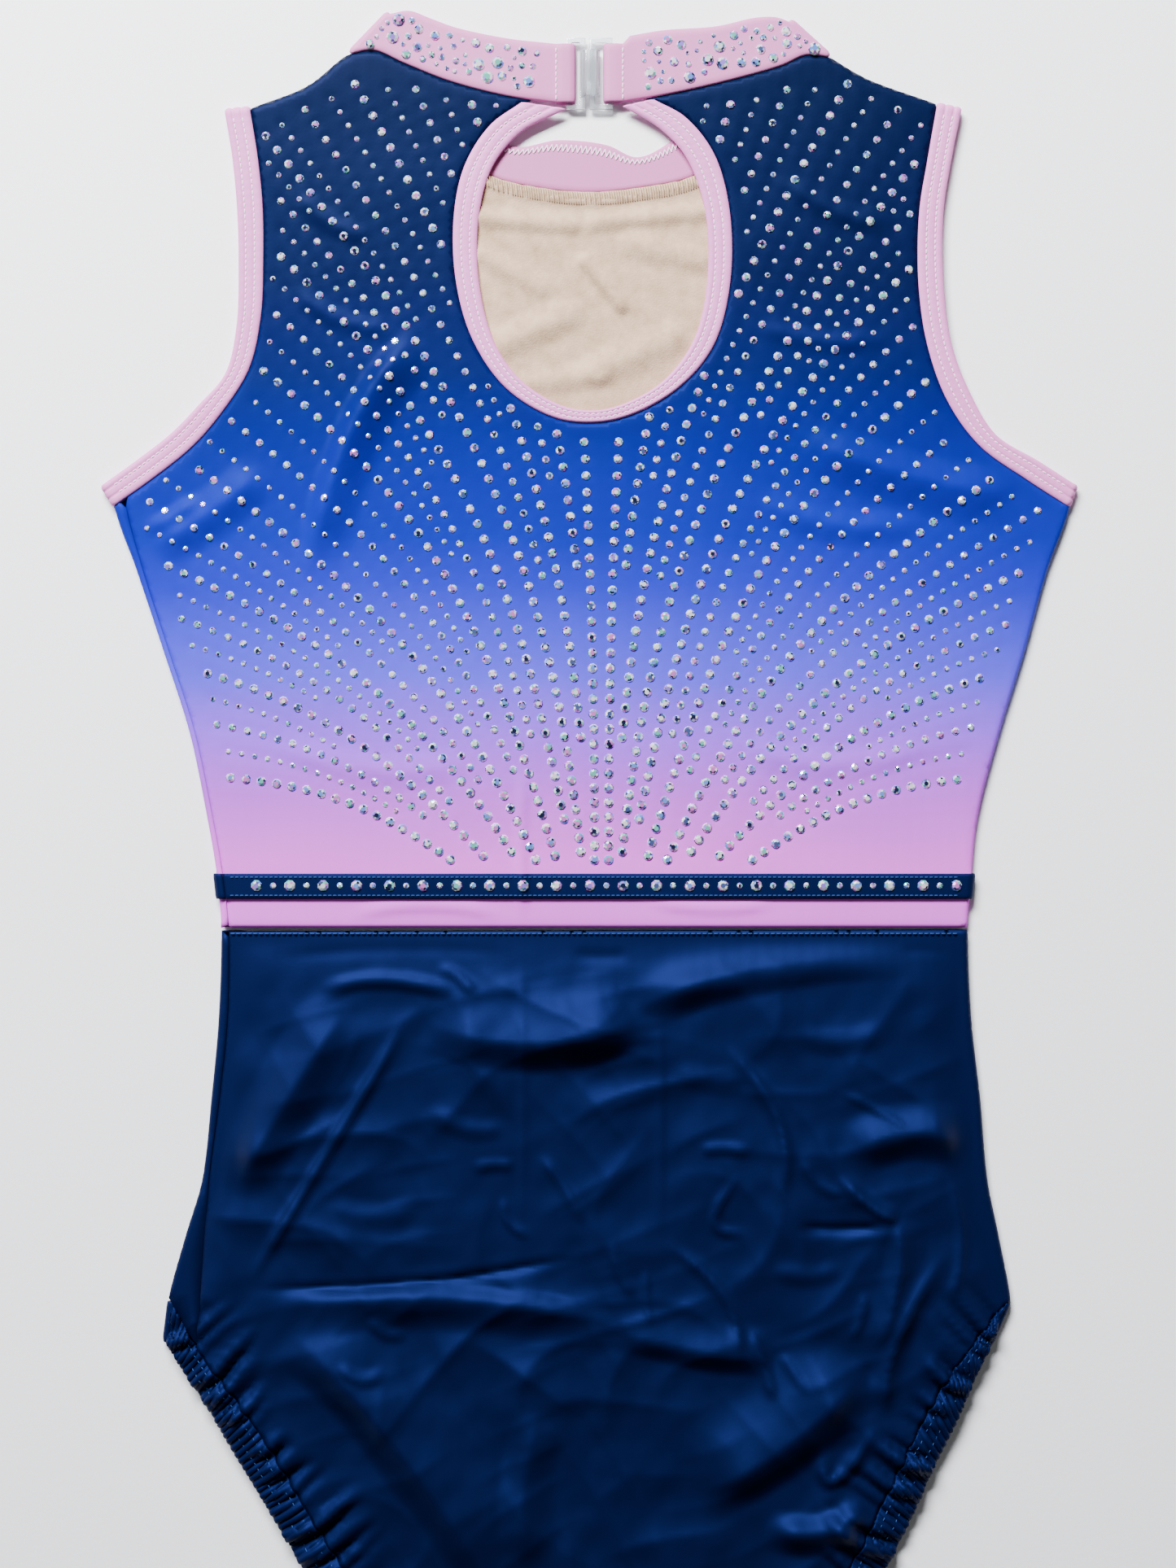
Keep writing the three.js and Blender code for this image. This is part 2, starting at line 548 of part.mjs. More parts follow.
// Bodice, back and front
const nearStrip = [
  WAIST_SEAM_Y + SEAM / 2,
  STRIP_Y[0] - SEAM - STRIP_RAMP,
  STRIP_Y[0] - SEAM,
  STRIP_Y[1] + SEAM,
  STRIP_Y[1] + SEAM + STRIP_RAMP,
];
const bodiceStart = nearStrip[nearStrip.length - 1];
const BODICE_ROWS = 20;
const shoulderY = (x) => lookUp(shoulders, 'x', 'y', x);
const backBodice = wall(
  panelRows(backRow, 20, nearStrip, bodiceStart, shoulderY, BODICE_ROWS, 1, true).map((r) => r.reverse()),
  CLOTH,
);
add('back_bodice', trim(backBodice, [...armholeCutters, backNeckCutter]), royal());
const frontBodice = wall(
  panelRows(frontRow, 10, nearStrip, bodiceStart, shoulderY, BODICE_ROWS, 1, false).map((r) => r.reverse()),
  CLOTH,
);
add('front_bodice', trim(frontBodice, [...armholeCutters, frontNeckCutter]), royal());

// Lining on the inside of the front, cut along the front of the neck like the bodice
const liningRows = steps(LINING_BOTTOM, 300, 14).map((y) => steps(LINING_HALF, -LINING_HALF, 12)
  .map((x) => new THREE.Vector3(x, y, LINING_MID)));
add('front_lining', trim(wall(liningRows, CLOTH), [frontNeckCutter]), beige());

// Waist strip, laid on the bodice and turned round its side folds
const stripRows = steps(STRIP_Y[0], STRIP_Y[1], 1);
const STRIP_OFF = CLOTH + SEAM;
function stripTurn(y, edgeX, outward) {
  const high = BACK_MID + STRIP_OFF;
  const radius = (high - FRONT_MID) / 2;
  const centreX = edgeX - outward * (CLOTH / 2 + radius - STRIP_OFF);
  return TURN.map((angle) => new THREE.Vector3(
    centreX + outward * radius * Math.sin(angle),
    y,
    FRONT_MID + radius + radius * Math.cos(angle),
  ));
}
function stripBack(y) {
  const turn = stripTurn(y, rightFold(y), 1);
  const first = leftFold(y) + seamInset(y) + SEAM / 2;
  const top = steps(first, turn[0].x, 20).slice(0, -1)
    .map((x) => new THREE.Vector3(x, y, BACK_MID + STRIP_OFF + lift(x, y)));
  const end = turn[turn.length - 1].clone();
  end.x -= UNDER_WRAP;
  return [...top, ...turn, end].reverse();
}
function stripFront(y) {
  const turn = stripTurn(y, leftFold(y), -1);
  const inset = leftFold(y) + seamInset(y) - SEAM / 2;
  const first = new THREE.Vector3(inset, y, BACK_MID + STRIP_OFF);
  const last = stripTurn(y, rightFold(y), 1)[TURN.length - 1].x - UNDER_WRAP - SEAM;
  const low = steps(turn[turn.length - 1].x, last, 8).slice(1)
    .map((x) => new THREE.Vector3(x, y, FRONT_MID));
  return [first, ...turn, ...low].reverse();
}
add('waist_strip_back', wall(stripRows.map(stripBack), CLOTH), navy());
add('waist_strip_front', wall(stripRows.map(stripFront), CLOTH), navy());

// Brief, back and front
const BRIEF_ROWS = 16;
const briefStart = WAIST_SEAM_Y - SEAM / 2;
const crotchY = () => -326.25;
const backBrief = wall(
  panelRows(backRow, 30, [briefStart], briefStart, crotchY, 2 * BRIEF_ROWS, -1, true),
  CLOTH,
);
add('back_brief', trim(backBrief, legCutters), navy());
const frontBrief = wall(
  panelRows(frontRow, 10, [briefStart], briefStart, crotchY, BRIEF_ROWS, -1, false),
  CLOTH,
);
add('front_brief', trim(frontBrief, legCutters), navy());

// Collar, one doubled strip with a loop at each end
const collarHigh = BACK_BASE + DOUBLED / 2;
const collarLow = DOUBLED / 2;
function loopStations(side) {
  const sign = side === 'left' ? 1 : -1;
  return loop.map((row) => LOOP_Y[side].map(
    (y) => new THREE.Vector3(STITCH_X[side] + sign * row.out, y, row.z),
  ));
}
const overLeft = stations(collarBackLeft, 12, () => collarHigh);
const underFront = stations(collarFront, 28, () => collarLow);
const overRight = stations(collarBackRight, 12, () => collarHigh);
const quarterTurns = TURN.slice(1, -1);
const leftTurn = turnBand(
  overLeft[overLeft.length - 1], overLeft[overLeft.length - 3], collarLow, collarHigh, quarterTurns,
);
const rightTurn = turnBand(
  overRight[0], overRight[2], collarLow, collarHigh, quarterTurns,
).reverse();
const collarRows = [
  ...loopStations('left').reverse(),
  ...overLeft,
  ...leftTurn,
  ...underFront,
  ...rightTurn,
  ...overRight,
  ...loopStations('right'),
];
function collarWall(i) {
  const fromEnd = Math.min(i, collarRows.length - 1 - i);
  return fromEnd < loop.length ? loop[loop.length - 1 - fromEnd].wall : DOUBLED;
}
add('collar', wall(collarRows, collarWall), pink());

// Bindings of the keyhole and the armholes
const keyholeRows = stations(keyhole, 44, (x, y) => BACK_BASE + BINDING / 2 + lift(x, y));
add('keyhole_binding', wall(keyholeRows, BINDING), pink());
add('armhole_binding_left', wall(ringBand(armholeLeft, BINDING, 24, 16).rows, BINDING, true), pink());
const rightArm = ringBand(armholeRight, BINDING, 24, 16).rows.map((pair) => pair.reverse());
add('armhole_binding_right', wall(rightArm, BINDING, true), pink());

// Leg hems, gathered by their elastic on the side that shows
function gatheredHem(rows, mirrored) {
  const length = smooth(rows, 'sx', 'sy', 40)
    .reduce((sum, p, i, all) => sum + (i ? p.distanceTo(all[i - 1]) : 0), 0);
  const count = 2 * Math.round(length / GATHER_PITCH);
  const band = ringBand(rows, HEM, count, 20);
  const rise = (i) => (i > 1 && i < band.backCount - 1 && i % 2 === 1 ? GATHER_RISE : 0);
  band.rows.forEach((pair, i) => pair.forEach((p) => {
    p.z += rise(i) / 2;
  }));
  const ordered = mirrored ? band.rows.map((pair) => pair.reverse()) : band.rows;
  return wall(ordered, (i) => HEM + rise(i), true);
}
add('leg_hem_left', gatheredHem(legLeft, true), navy());
add('leg_hem_right', gatheredHem(legRight, false), navy());

// Clear plastic hook clasp: two frames whose outer bars lie in the collar loops
const BAR_Z = [1.4, 3.0];
const FRAME_Y = [291.8, 318.2];
const LINK = 1.8;
function frame(x0, x1, barNear, barFar) {
  const shape = new THREE.Shape();
  shape.moveTo(x0, FRAME_Y[0]);
  shape.lineTo(x1, FRAME_Y[0]);
  shape.lineTo(x1, FRAME_Y[1]);
  shape.lineTo(x0, FRAME_Y[1]);
  const slot = new THREE.Path();
  slot.moveTo(x0 + barNear, FRAME_Y[0] + LINK);
  slot.lineTo(x0 + barNear, FRAME_Y[1] - LINK);
  slot.lineTo(x1 - barFar, FRAME_Y[1] - LINK);
  slot.lineTo(x1 - barFar, FRAME_Y[0] + LINK);
  shape.holes.push(slot);
  const made = new THREE.ExtrudeGeometry(shape, { depth: BAR_Z[1] - BAR_Z[0], bevelEnabled: false });
  made.translate(0, 0, BAR_Z[0]);
  return made;
}
// The tongue rises from the hook's inner bar, passes over the eye's bar and turns down
const tongue = new THREE.Shape([
  new THREE.Vector2(-3.4, BAR_Z[0] + 0.2),
  new THREE.Vector2(-1.6, BAR_Z[0] + 0.2),
  new THREE.Vector2(-1.2, 3.3),
  new THREE.Vector2(2.5, 3.3),
  new THREE.Vector2(2.5, 1.2),
  new THREE.Vector2(4.0, 1.2),
  new THREE.Vector2(4.0, 3.6),
  new THREE.Vector2(3.0, 4.6),
  new THREE.Vector2(-1.4, 4.6),
]);
const TONGUE_Y = [296.5, 313.5];
const bent = new THREE.ExtrudeGeometry(tongue, {
  depth: TONGUE_Y[1] - TONGUE_Y[0],
  bevelEnabled: false,
});
bent.rotateX(Math.PI / 2);
bent.translate(0, TONGUE_Y[1], 0);
const hook = toManifold(frame(-8.5, -1.4, 2.0, 2.1)).add(toManifold(bent));
add('clasp_hook', toGeometry(hook), clear());
add('clasp_eye', frame(0.1, 8.7, 2.0, 2.0), clear());

export default leotard;
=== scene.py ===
import math

import bpy
import numpy as np
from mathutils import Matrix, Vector
from mathutils.geometry import delaunay_2d_cdt
from mathutils.kdtree import KDTree


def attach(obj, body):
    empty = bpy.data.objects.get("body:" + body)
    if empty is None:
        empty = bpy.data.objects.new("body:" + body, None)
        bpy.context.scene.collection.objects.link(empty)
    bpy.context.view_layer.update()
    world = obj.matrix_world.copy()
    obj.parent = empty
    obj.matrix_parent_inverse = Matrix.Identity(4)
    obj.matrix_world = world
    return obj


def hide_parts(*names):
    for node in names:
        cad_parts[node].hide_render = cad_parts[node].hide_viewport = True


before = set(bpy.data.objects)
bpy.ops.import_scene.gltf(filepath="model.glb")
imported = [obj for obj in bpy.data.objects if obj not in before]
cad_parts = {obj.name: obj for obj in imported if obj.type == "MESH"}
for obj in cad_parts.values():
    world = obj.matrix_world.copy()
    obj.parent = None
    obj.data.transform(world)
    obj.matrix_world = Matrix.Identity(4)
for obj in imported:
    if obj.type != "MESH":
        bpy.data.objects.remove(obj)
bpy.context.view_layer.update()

# Front of the bodice. One panel of printed satin stretch knit from the neck to below the
# waist strip. It lies under the back, wraps round the left side and meets the back there.
# All sizes here are in millimetres, in the frame of the solids.
MM = 0.001
CLOTH = 1.0  # wall of one layer
SEAM = 0.12  # gap between two pieces at a seam
OVERLAID = 1.3  # from the middle of a layer to the middle of a strip on it
BACK_BASE = 2.6  # underside of the back
FRONT_MID, BACK_MID = CLOTH / 2, BACK_BASE + CLOTH / 2
R_FOLD = (BACK_MID - FRONT_MID) / 2
WAIST_SEAM_Y = -10
STRIP_LOW, STRIP_HIGH = 0.6, 9.9
STRIP_RAMP = 3
UNDER_WRAP = 3


def table(columns, *rows):
    """A table with named columns, as one array for each column."""
    return dict(zip(columns.split(), np.array(rows, float).T))


sides = table(
    "y left right inset",
    (312, -138, 142, 5),
    (220, -137, 138, 5),
    (190, -147, 147, 5),
    (172, -163, 163, 5),
    (158, -175, 177, 5),
    (146, -175.5, 177.6, 4.8),
    (122, -167.2, 169.2, 2.8),
    (92, -157.2, 160.8, 2.4),
    (62, -147.6, 151.5, 2.4),
    (32, -141.3, 143.7, 2.4),
    (9.5, -137.5, 141.2, 2.6),
    (-10, -135.9, 139.8, 3),
    (-43, -136.8, 141, 3.6),
    (-73, -139.5, 144.3, 3.3),
    (-103, -142.9, 147, 2.9),
    (-124, -149.1, 151.2, 7.5),
    (-148, -155.6, 155.6, 12.6),
    (-168, -158, 156, 14),
    (-190, -146, 146, 10),
    (-245, -113, 114, 10),
    (-290, -82, 83, 8),
    (-330, -48, 48, 5),
)
shoulders = table(
    "x y",
    (-150, 278),
    (-125, 290.6),
    (-103.5, 299.2),
    (-90, 309.8),
    (-78, 318),
    (78, 317),
    (90, 308.8),
    (103, 301.4),
    (128.4, 292.2),
    (150, 283),
)
# Bands: a point on the edge sewn to the panel (sx, sy), and the free edge across from it
armhole_left = table(
    "sx sy fx fy",
    (-124.8, 291, -134.2, 290),
    (-122.1, 274.3, -131.6, 274.5),
    (-120.3, 256.9, -129.8, 255.5),
    (-120, 235.9, -129.2, 236),
    (-120.9, 214.9, -130, 211.5),
    (-125.4, 195.4, -134.2, 194),
    (-135.6, 179.2, -144, 182.5),
    (-146.4, 166.9, -154, 172.2),
    (-160.5, 155.5, -166.5, 162.4),
    (-174, 146, -178.7, 153.6),
)
armhole_right = table(
    "sx sy fx fy",
    (127.9, 292.4, 137, 290.4),
    (124.5, 272.8, 133.6, 273.5),
    (121.5, 253.9, 130.6, 254),
    (121.2, 227.8, 130.5, 229.2),
    (124.5, 204.4, 133.5, 205.3),
    (132, 183.8, 140.6, 186.5),
    (144, 167.2, 150, 171.5),
    (161.4, 154.7, 165.4, 162),
    (175.6, 145.6, 178.5, 153.6),
)
collar_front = table(
    "sx sy fx fy",
    (-87.6, 312, -73.4, 326.7),
    (-72, 297, -58, 311),
    (-54, 279.5, -45, 294.5),
    (-37.2, 267.8, -28.8, 278.8),
    (-18, 263, -11.1, 280.9),
    (0, 261.4, 6.3, 279.1),
    (18, 263, 17.7, 274.6),
    (39, 267.6, 29.7, 280.1),
    (55, 279.5, 45, 294.5),
    (72, 297, 58, 309.5),
    (88, 310.8, 73.6, 323.8),
)


def look_up(rows, at_key, key, at):
    """Value of one column at a place given by another, on a smooth curve."""
    order = np.argsort(rows[at_key])
    xs, ys = rows[at_key][order], rows[key][order]
    at = np.clip(np.asarray(at, float), xs[0], xs[-1])
    before = np.r_[0, np.arange(len(xs) - 1)]
    after = np.r_[np.arange(1, len(xs)), len(xs) - 1]
    slope = (ys[after] - ys[before]) / (xs[after] - xs[before])
    i = np.clip(np.searchsorted(xs, at, side="right") - 1, 0, len(xs) - 2)
    step = xs[i + 1] - xs[i]
    t = (at - xs[i]) / step
    hold = 2 * t**3 - 3 * t**2 + 1
    leave, arrive = t**3 - 2 * t**2 + t, t**3 - t**2
    bend = step * (leave * slope[i] + arrive * slope[i + 1])
    return hold * ys[i] + (1 - hold) * ys[i + 1] + bend


def smooth(rows, x_key, y_key, count):
    """Points on the smooth plan curve through two columns of a table."""
    p = np.column_stack([rows[x_key], rows[y_key]])
    q = np.vstack([2 * p[0] - p[1], p, 2 * p[-1] - p[-2]])
    t = np.linspace(0, len(p) - 1, count + 1)
    i = np.minimum(t.astype(int), len(p) - 2)
    w = (t - i)[:, None]
    a, b, c, d = q[i], q[i + 1], q[i + 2], q[i + 3]
    ab = np.sqrt(np.linalg.norm(b - a, axis=1))[:, None]
    bc = np.sqrt(np.linalg.norm(c - b, axis=1))[:, None]
    cd = np.sqrt(np.linalg.norm(d - c, axis=1))[:, None]
    leave = bc * ((b - a) / ab - (c - a) / (ab + bc) + (c - b) / bc)
    arrive = bc * ((c - b) / bc - (d - b) / (bc + cd) + (d - c) / cd)
    third = 2 * b - 2 * c + leave + arrive
    second = -3 * b + 3 * c - 2 * leave - arrive
    return b + w * leave + w**2 * second + w**3 * third


def ease(t):
    t = np.clip(t, 0, 1)
    return t * t * (3 - 2 * t)


def left_fold(y):
    return look_up(sides, "y", "left", y)


def right_fold(y):
    return look_up(sides, "y", "right", y)


def pass_over(y):
    """How far the front stands above the table where the waist strip passes under it."""
    below = ease((y - (STRIP_LOW - SEAM - STRIP_RAMP)) / STRIP_RAMP)
    above = ease((STRIP_HIGH + SEAM + STRIP_RAMP - y) / STRIP_RAMP)
    return OVERLAID * np.minimum(below, above)


def fold_radius(y, out=0.0):
    """Radius of a side fold of the cloth, or of a strip that far outside it."""
    return (BACK_MID + out - FRONT_MID - (0 if out else pass_over(y))) / 2


def left_turn(y, out=0.0):
    """Where the left fold starts to turn, from its outermost line inward."""
    return left_fold(y) + CLOTH / 2 + fold_radius(y, out) - out


def right_turn(y, out=0.0):
    return right_fold(y) - CLOTH / 2 - fold_radius(y, out) + out


def front_left_border(y, out=0.0):
    """End of the front past the left fold, at the side seam on the back."""
    on_back = left_fold(y) + look_up(sides, "y", "inset", y) - SEAM / 2 - left_turn(y, out)
    return left_turn(y, out) - math.pi * fold_radius(y, out) - on_back


def front_right_border(y, out=0.0):
    return right_turn(y, out) - UNDER_WRAP - SEAM


def over_the_end(points, end_y, direction, from_top):
    """Turns the cloth past the line end_y(x) down, or up, to meet the other layer."""
    x, y, z = points.T.copy()
    line = end_y(x)
    rise = end_y(x + 0.5) - end_y(x - 0.5)
    long = np.hypot(rise, 1)
    past = np.maximum(direction * (y - line) / long, 0)
    angle = past / R_FOLD
    flat = past > 0
    out_x, out_y = -rise / long * direction, direction / long
    base_x, base_y = x - out_x * past, y - out_y * past
    turned_x = base_x + out_x * R_FOLD * np.sin(angle)
    turned_y = base_y + out_y * R_FOLD * np.sin(angle)
    drop = R_FOLD * (1 - np.cos(angle)) * (-1 if from_top else 1)
    x, y = np.where(flat, turned_x, x), np.where(flat, turned_y, y)
    return np.column_stack([x, y, z + np.where(flat, drop, 0)])


def place_front(s, y, out=0.0):
    """Where the front lies: s is measured flat across it, round the left fold and on."""
    radius, centre = fold_radius(y, out), left_turn(y, out)
    low = BACK_MID + out - 2 * radius
    past = centre - s
    angle = np.clip(past / radius, 0, math.pi)
    beyond = np.maximum(past - math.pi * radius, 0)
    x = np.where(past > 0, centre - radius * np.sin(angle) + beyond, s)
    z = low + radius * (1 - np.cos(angle))
    return np.column_stack([x, y, z])


def resample(points, spacing, closed=False):
    """The same line with points at even spacing."""
    if closed:
        points = np.vstack([points, points[:1]])
    run = np.r_[0, np.cumsum(np.linalg.norm(np.diff(points, axis=0), axis=1))]
    count = max(2, int(round(run[-1] / spacing)))
    at = np.linspace(0, run[-1], count + 1)
    even = np.column_stack([np.interp(at, run, column) for column in points.T])
    return even[:-1] if closed else even


def inside_outline(points, outline):
    """Which points lie inside a closed outline."""
    x, y = points[:, 0], points[:, 1]
    found = np.zeros(len(points), bool)
    for (x1, y1), (x2, y2) in zip(outline, np.roll(outline, -1, axis=0)):
        if y1 == y2:
            continue
        crosses = (y1 > y) != (y2 > y)
        at = (x2 - x1) * (y - y1) / (y2 - y1) + x1
        found ^= crosses & (x < at)
    return found


def nearest(points, line):
    """Distance of each point to the nearest of the points of a line, and which it is."""
    tree = KDTree(len(line))
    for i, (x, y) in enumerate(line.tolist()):
        tree.insert((x, y, 0), i)
    tree.balance()
    found = [tree.find((x, y, 0))[1:] for x, y in points.tolist()]
    return np.array([d for _, d in found]), np.array([i for i, _ in found], int)


def face_normals(points, faces):
    a, b, c = (points[faces[:, k]] for k in range(3))
    each = np.cross(b - a, c - a)
    summed = np.zeros_like(points)
    for k in range(3):
        np.add.at(summed, faces[:, k], each)
    return summed / np.maximum(np.linalg.norm(summed, axis=1), 1e-12)[:, None]


def link_object(name, data):
    made = bpy.data.objects.new(name, data)
    bpy.context.scene.collection.objects.link(made)
    return made


def make_object(name, points, faces, material):
    """A piece that stays on or above the table."""
    points[:, 2] = np.maximum(points[:, 2], 0)
    mesh = bpy.data.meshes.new(name)
    mesh.from_pydata((points * MM).tolist(), [], [list(map(int, f)) for f in faces])
    mesh.shade_smooth()
    mesh.materials.append(material)
    return link_object(name, mesh)


EDGE_WIDTH = 1.3  # width over which the edge of a panel sinks into its seam


def cut_cloth(name, outline, spacing, place, material, relief=None, extra=None, dip=0.3):
    """A closed panel of cloth. Its flat outline is filled with small triangles, place()
    carries them to where the cloth lies, relief() adds what stands out of it, extra holds
    more inner points, and the edge sinks by dip."""
    edge = resample(outline, spacing, closed=True)
    low, high = edge.min(0), edge.max(0)
    row_gap = spacing * math.sqrt(3) / 2
    ys = np.arange(low[1], high[1], row_gap)
    xs = np.arange(low[0], high[0], spacing)
    grid = np.array([(x + (i % 2) * spacing / 2, y) for i, y in enumerate(ys) for x in xs])
    if extra is not None:
        keep = nearest(grid, extra)[0] > 0.5 * spacing
        grid = np.vstack([grid[keep], extra])
    grid = grid[inside_outline(grid, edge)]
    grid = grid[nearest(grid, edge)[0] > 0.55 * spacing]
    flat = np.vstack([edge, grid])
    ring = [(i, (i + 1) % len(edge)) for i in range(len(edge))]
    vectors = [Vector(p) for p in flat.tolist()]
    made = delaunay_2d_cdt(vectors, ring, [], 1, 1e-5, False)
    flat = np.array([tuple(v) for v in made[0]])
    faces = np.array([f for f in made[2] if len(f) == 3])
    faces = faces[inside_outline(flat[faces].mean(1), edge)]
    middle = place(flat[:, 0], flat[:, 1])
    normal = face_normals(middle, faces)
    from_edge = nearest(flat, edge)[0]
    sunk = dip * np.exp(-((from_edge / EDGE_WIDTH) ** 2))
    middle = middle - normal * sunk[:, None]
    if relief is not None:
        middle = middle + normal * relief(middle)[:, None]
    normal = face_normals(middle, faces)
    outer, inner = middle + normal * CLOTH / 2, middle - normal * CLOTH / 2
    sides_of = {}
    for a, b, c in faces:
        for pair in ((a, b), (b, c), (c, a)):
            if (pair[1], pair[0]) in sides_of:
                del sides_of[(pair[1], pair[0])]
            else:
                sides_of[pair] = True
    n = len(flat)
    rims = [(b, a, a + n, b + n) for a, b in sides_of]
    backs = faces[:, ::-1] + n
    return make_object(name, np.vstack([outer, inner]), [*faces, *backs, *rims], material)


def linear(color):
    """A colour given as sRGB hex, as the linear values that shaders use."""
    parts = [int(color[i:i + 2], 16) / 255 for i in (1, 3, 5)]
    bent = [c / 12.92 if c <= 0.04045 else ((c + 0.055) / 1.055) ** 2.4 for c in parts]
    return (*bent, 1.0)


def add_node(tree, kind, settings=None, links=None):
    """Adds a node, sets its inputs and options by name, and links sockets into it."""
    made = tree.nodes.new(kind)
    for name, value in (settings or {}).items():
        if isinstance(name, int) or name in made.inputs:
            made.inputs[name].default_value = value
        else:
            setattr(made, name, value)
    for name, (source, output) in (links or {}).items():
        tree.links.new(source.outputs[output], made.inputs[name])
    return made


def new_material(name):
    """An empty material and its node tree."""
    material = bpy.data.materials.new(name)
    material.use_nodes = True
    material.node_tree.nodes.clear()
    return material, material.node_tree


def set_ramp(ramp, steps):
    """Gives a colour ramp its places and colours."""
    while len(ramp.elements) < len(steps):
        ramp.elements.new(1.0)
    for step, (at, color) in zip(ramp.elements, steps):
        step.position = at
        step.color = linear(color)


def satin_knit(name, roughness, gloss, shine):
    """Material of satin stretch knit. Returns it with its texture and shader nodes."""
    material, tree = new_material(name)
    where = add_node(tree, "ShaderNodeTexCoord")
    wales = add_node(
        tree, "ShaderNodeTexWave",
        {"wave_type": "BANDS", "bands_direction": "X", "Scale": 1 / (20 * WALE * MM),
         "Distortion": 0.6, "Detail": 1.0, "Detail Scale": 2.0},
        {"Vector": (where, "Object")},
    )
    grain = add_node(
        tree, "ShaderNodeTexNoise",
        {"Scale": 900.0, "Detail": 2.0},
        {"Vector": (where, "Object")},
    )
    knit = add_node(tree, "ShaderNodeMath", {"operation": "ADD"}, {0: (wales, "Fac"), 1: (grain, 0)})
    bump = add_node(tree, "ShaderNodeBump", {"Strength": 0.10, "Distance": 0.0002}, {"Height": (knit, 0)})
    shader = add_node(
        tree, "ShaderNodeBsdfPrincipled",
        {"Roughness": roughness, "Specular IOR Level": gloss, "Specular Tint": linear(shine)},
        {"Normal": (bump, 0)},
    )
    add_node(tree, "ShaderNodeOutputMaterial", links={"Surface": (shader, 0)})
    return material, where, shader


# Polyamide and elastane satin knit: smooth yarns in fine wales give it a soft sheen
# along the folds, and the dye is printed on in a gradient from navy to pink.
# The wales of the knit are 0.3 mm apart; drawn at 0.9 mm so that they show.
WALE = 0.9
PRINT_LOW, PRINT_HIGH = -10, 320
ombre_knit, where, cloth_shader = satin_knit("satin_stretch_knit_ombre", 0.54, 0.16, "#7f9dff")
tree = ombre_knit.node_tree
apart = add_node(tree, "ShaderNodeSeparateXYZ", links={0: (where, "Object")})
blur = add_node(tree, "ShaderNodeTexNoise", {"Scale": 14.0, "Detail": 2.0}, {"Vector": (where, "Object")})
height = add_node(
    tree, "ShaderNodeMath",
    {"operation": "MULTIPLY_ADD", 1: 0.012},
    {0: (blur, 0), 2: (apart, "Y")},
)
along = add_node(
    tree, "ShaderNodeMapRange",
    {"From Min": PRINT_LOW * MM, "From Max": PRINT_HIGH * MM},
    {"Value": (height, 0)},
)
dye = add_node(tree, "ShaderNodeValToRGB", links={"Fac": (along, "Result")})
tree.links.new(dye.outputs["Color"], cloth_shader.inputs["Base Color"])
# height up the suit in mm, and the colour of the print there
print_steps = [
    (20, "#d85cd8"),
    (46, "#b04ed2"),
    (68, "#8648de"),
    (88, "#4f40d2"),
    (106, "#3633c0"),
    (122, "#1c22a6"),
    (140, "#0a1a8c"),
    (172, "#061470"),
    (200, "#040f4c"),
    (236, "#020a30"),
    (312, "#010722"),
]
set_ramp(dye.color_ramp, [((at - PRINT_LOW) / (PRINT_HIGH - PRINT_LOW), c) for at, c in print_steps])


def line_of(rows, count=60, edge="s"):
    """Smooth line of the sewn edge (s) or the free edge (f) of a band."""
    return smooth(rows, edge + "x", edge + "y", count)


def side_run(fold, low_y, high_y, spacing=2.0):
    """Heights along a side, and the place there given by fold(y)."""
    ys = np.arange(low_y, high_y, spacing)
    return np.column_stack([fold(ys), ys])


def round_fold(middle_of, radius_of, sign, low_y, high_y, spacing):
    """Extra points round a side fold, so that it turns smoothly."""
    ys = np.arange(low_y, high_y, spacing)
    spread = [np.column_stack([middle_of(ys) + sign * radius_of(ys) * math.pi * k / 6, ys])
              for k in range(7)]
    return np.vstack(spread)


def shoulder_y(x):
    return look_up(shoulders, "x", "y", x)


TURN_LENGTH = R_FOLD * math.pi / 2 - SEAM / 2


def shoulder_run(from_x, to_x):
    """The cut end of a panel, past the shoulder line by the turn to the other layer."""
    xs = np.linspace(from_x, to_x, 24)
    rise = shoulder_y(xs + 0.5) - shoulder_y(xs - 0.5)
    long = np.hypot(rise, 1)
    return np.column_stack([xs - rise / long * TURN_LENGTH, shoulder_y(xs) + TURN_LENGTH / long])


UNDERARM_Y = 146.5
left_arm, right_arm = line_of(armhole_left), line_of(armhole_right)
front_outline = np.vstack([
    side_run(front_right_border, WAIST_SEAM_Y + SEAM / 2, UNDERARM_Y),
    right_arm[::-1][1:],
    shoulder_run(127, 91),
    line_of(collar_front)[::-1][1:-1],
    shoulder_run(-90.5, -124),
    left_arm[:-1],
    side_run(front_left_border, WAIST_SEAM_Y + SEAM / 2, UNDERARM_Y)[::-1],
])
front_bodice = cut_cloth(
    "front_bodice_cloth",
    front_outline,
    3.2,
    lambda s, y: over_the_end(place_front(s, y), shoulder_y, 1, False),
    ombre_knit,
    extra=round_fold(left_turn, fold_radius, -1, -8, UNDERARM_Y, 3),
)
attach(front_bodice, "root")
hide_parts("front_bodice")


# Front lining. Beige matte knit on the inside of the front, sewn into the seam of the
# collar; it shows through the keyhole, with a cut edge closed by an overlock seam.
LINING_MID = 1.8
CREASES_RAISED = 2.2
RELIEF_LOW, RELIEF_HIGH = -0.3, 2.2
LINING_BOTTOM = 140
LINING_HALF = 76
OVERLOCK = 4.6

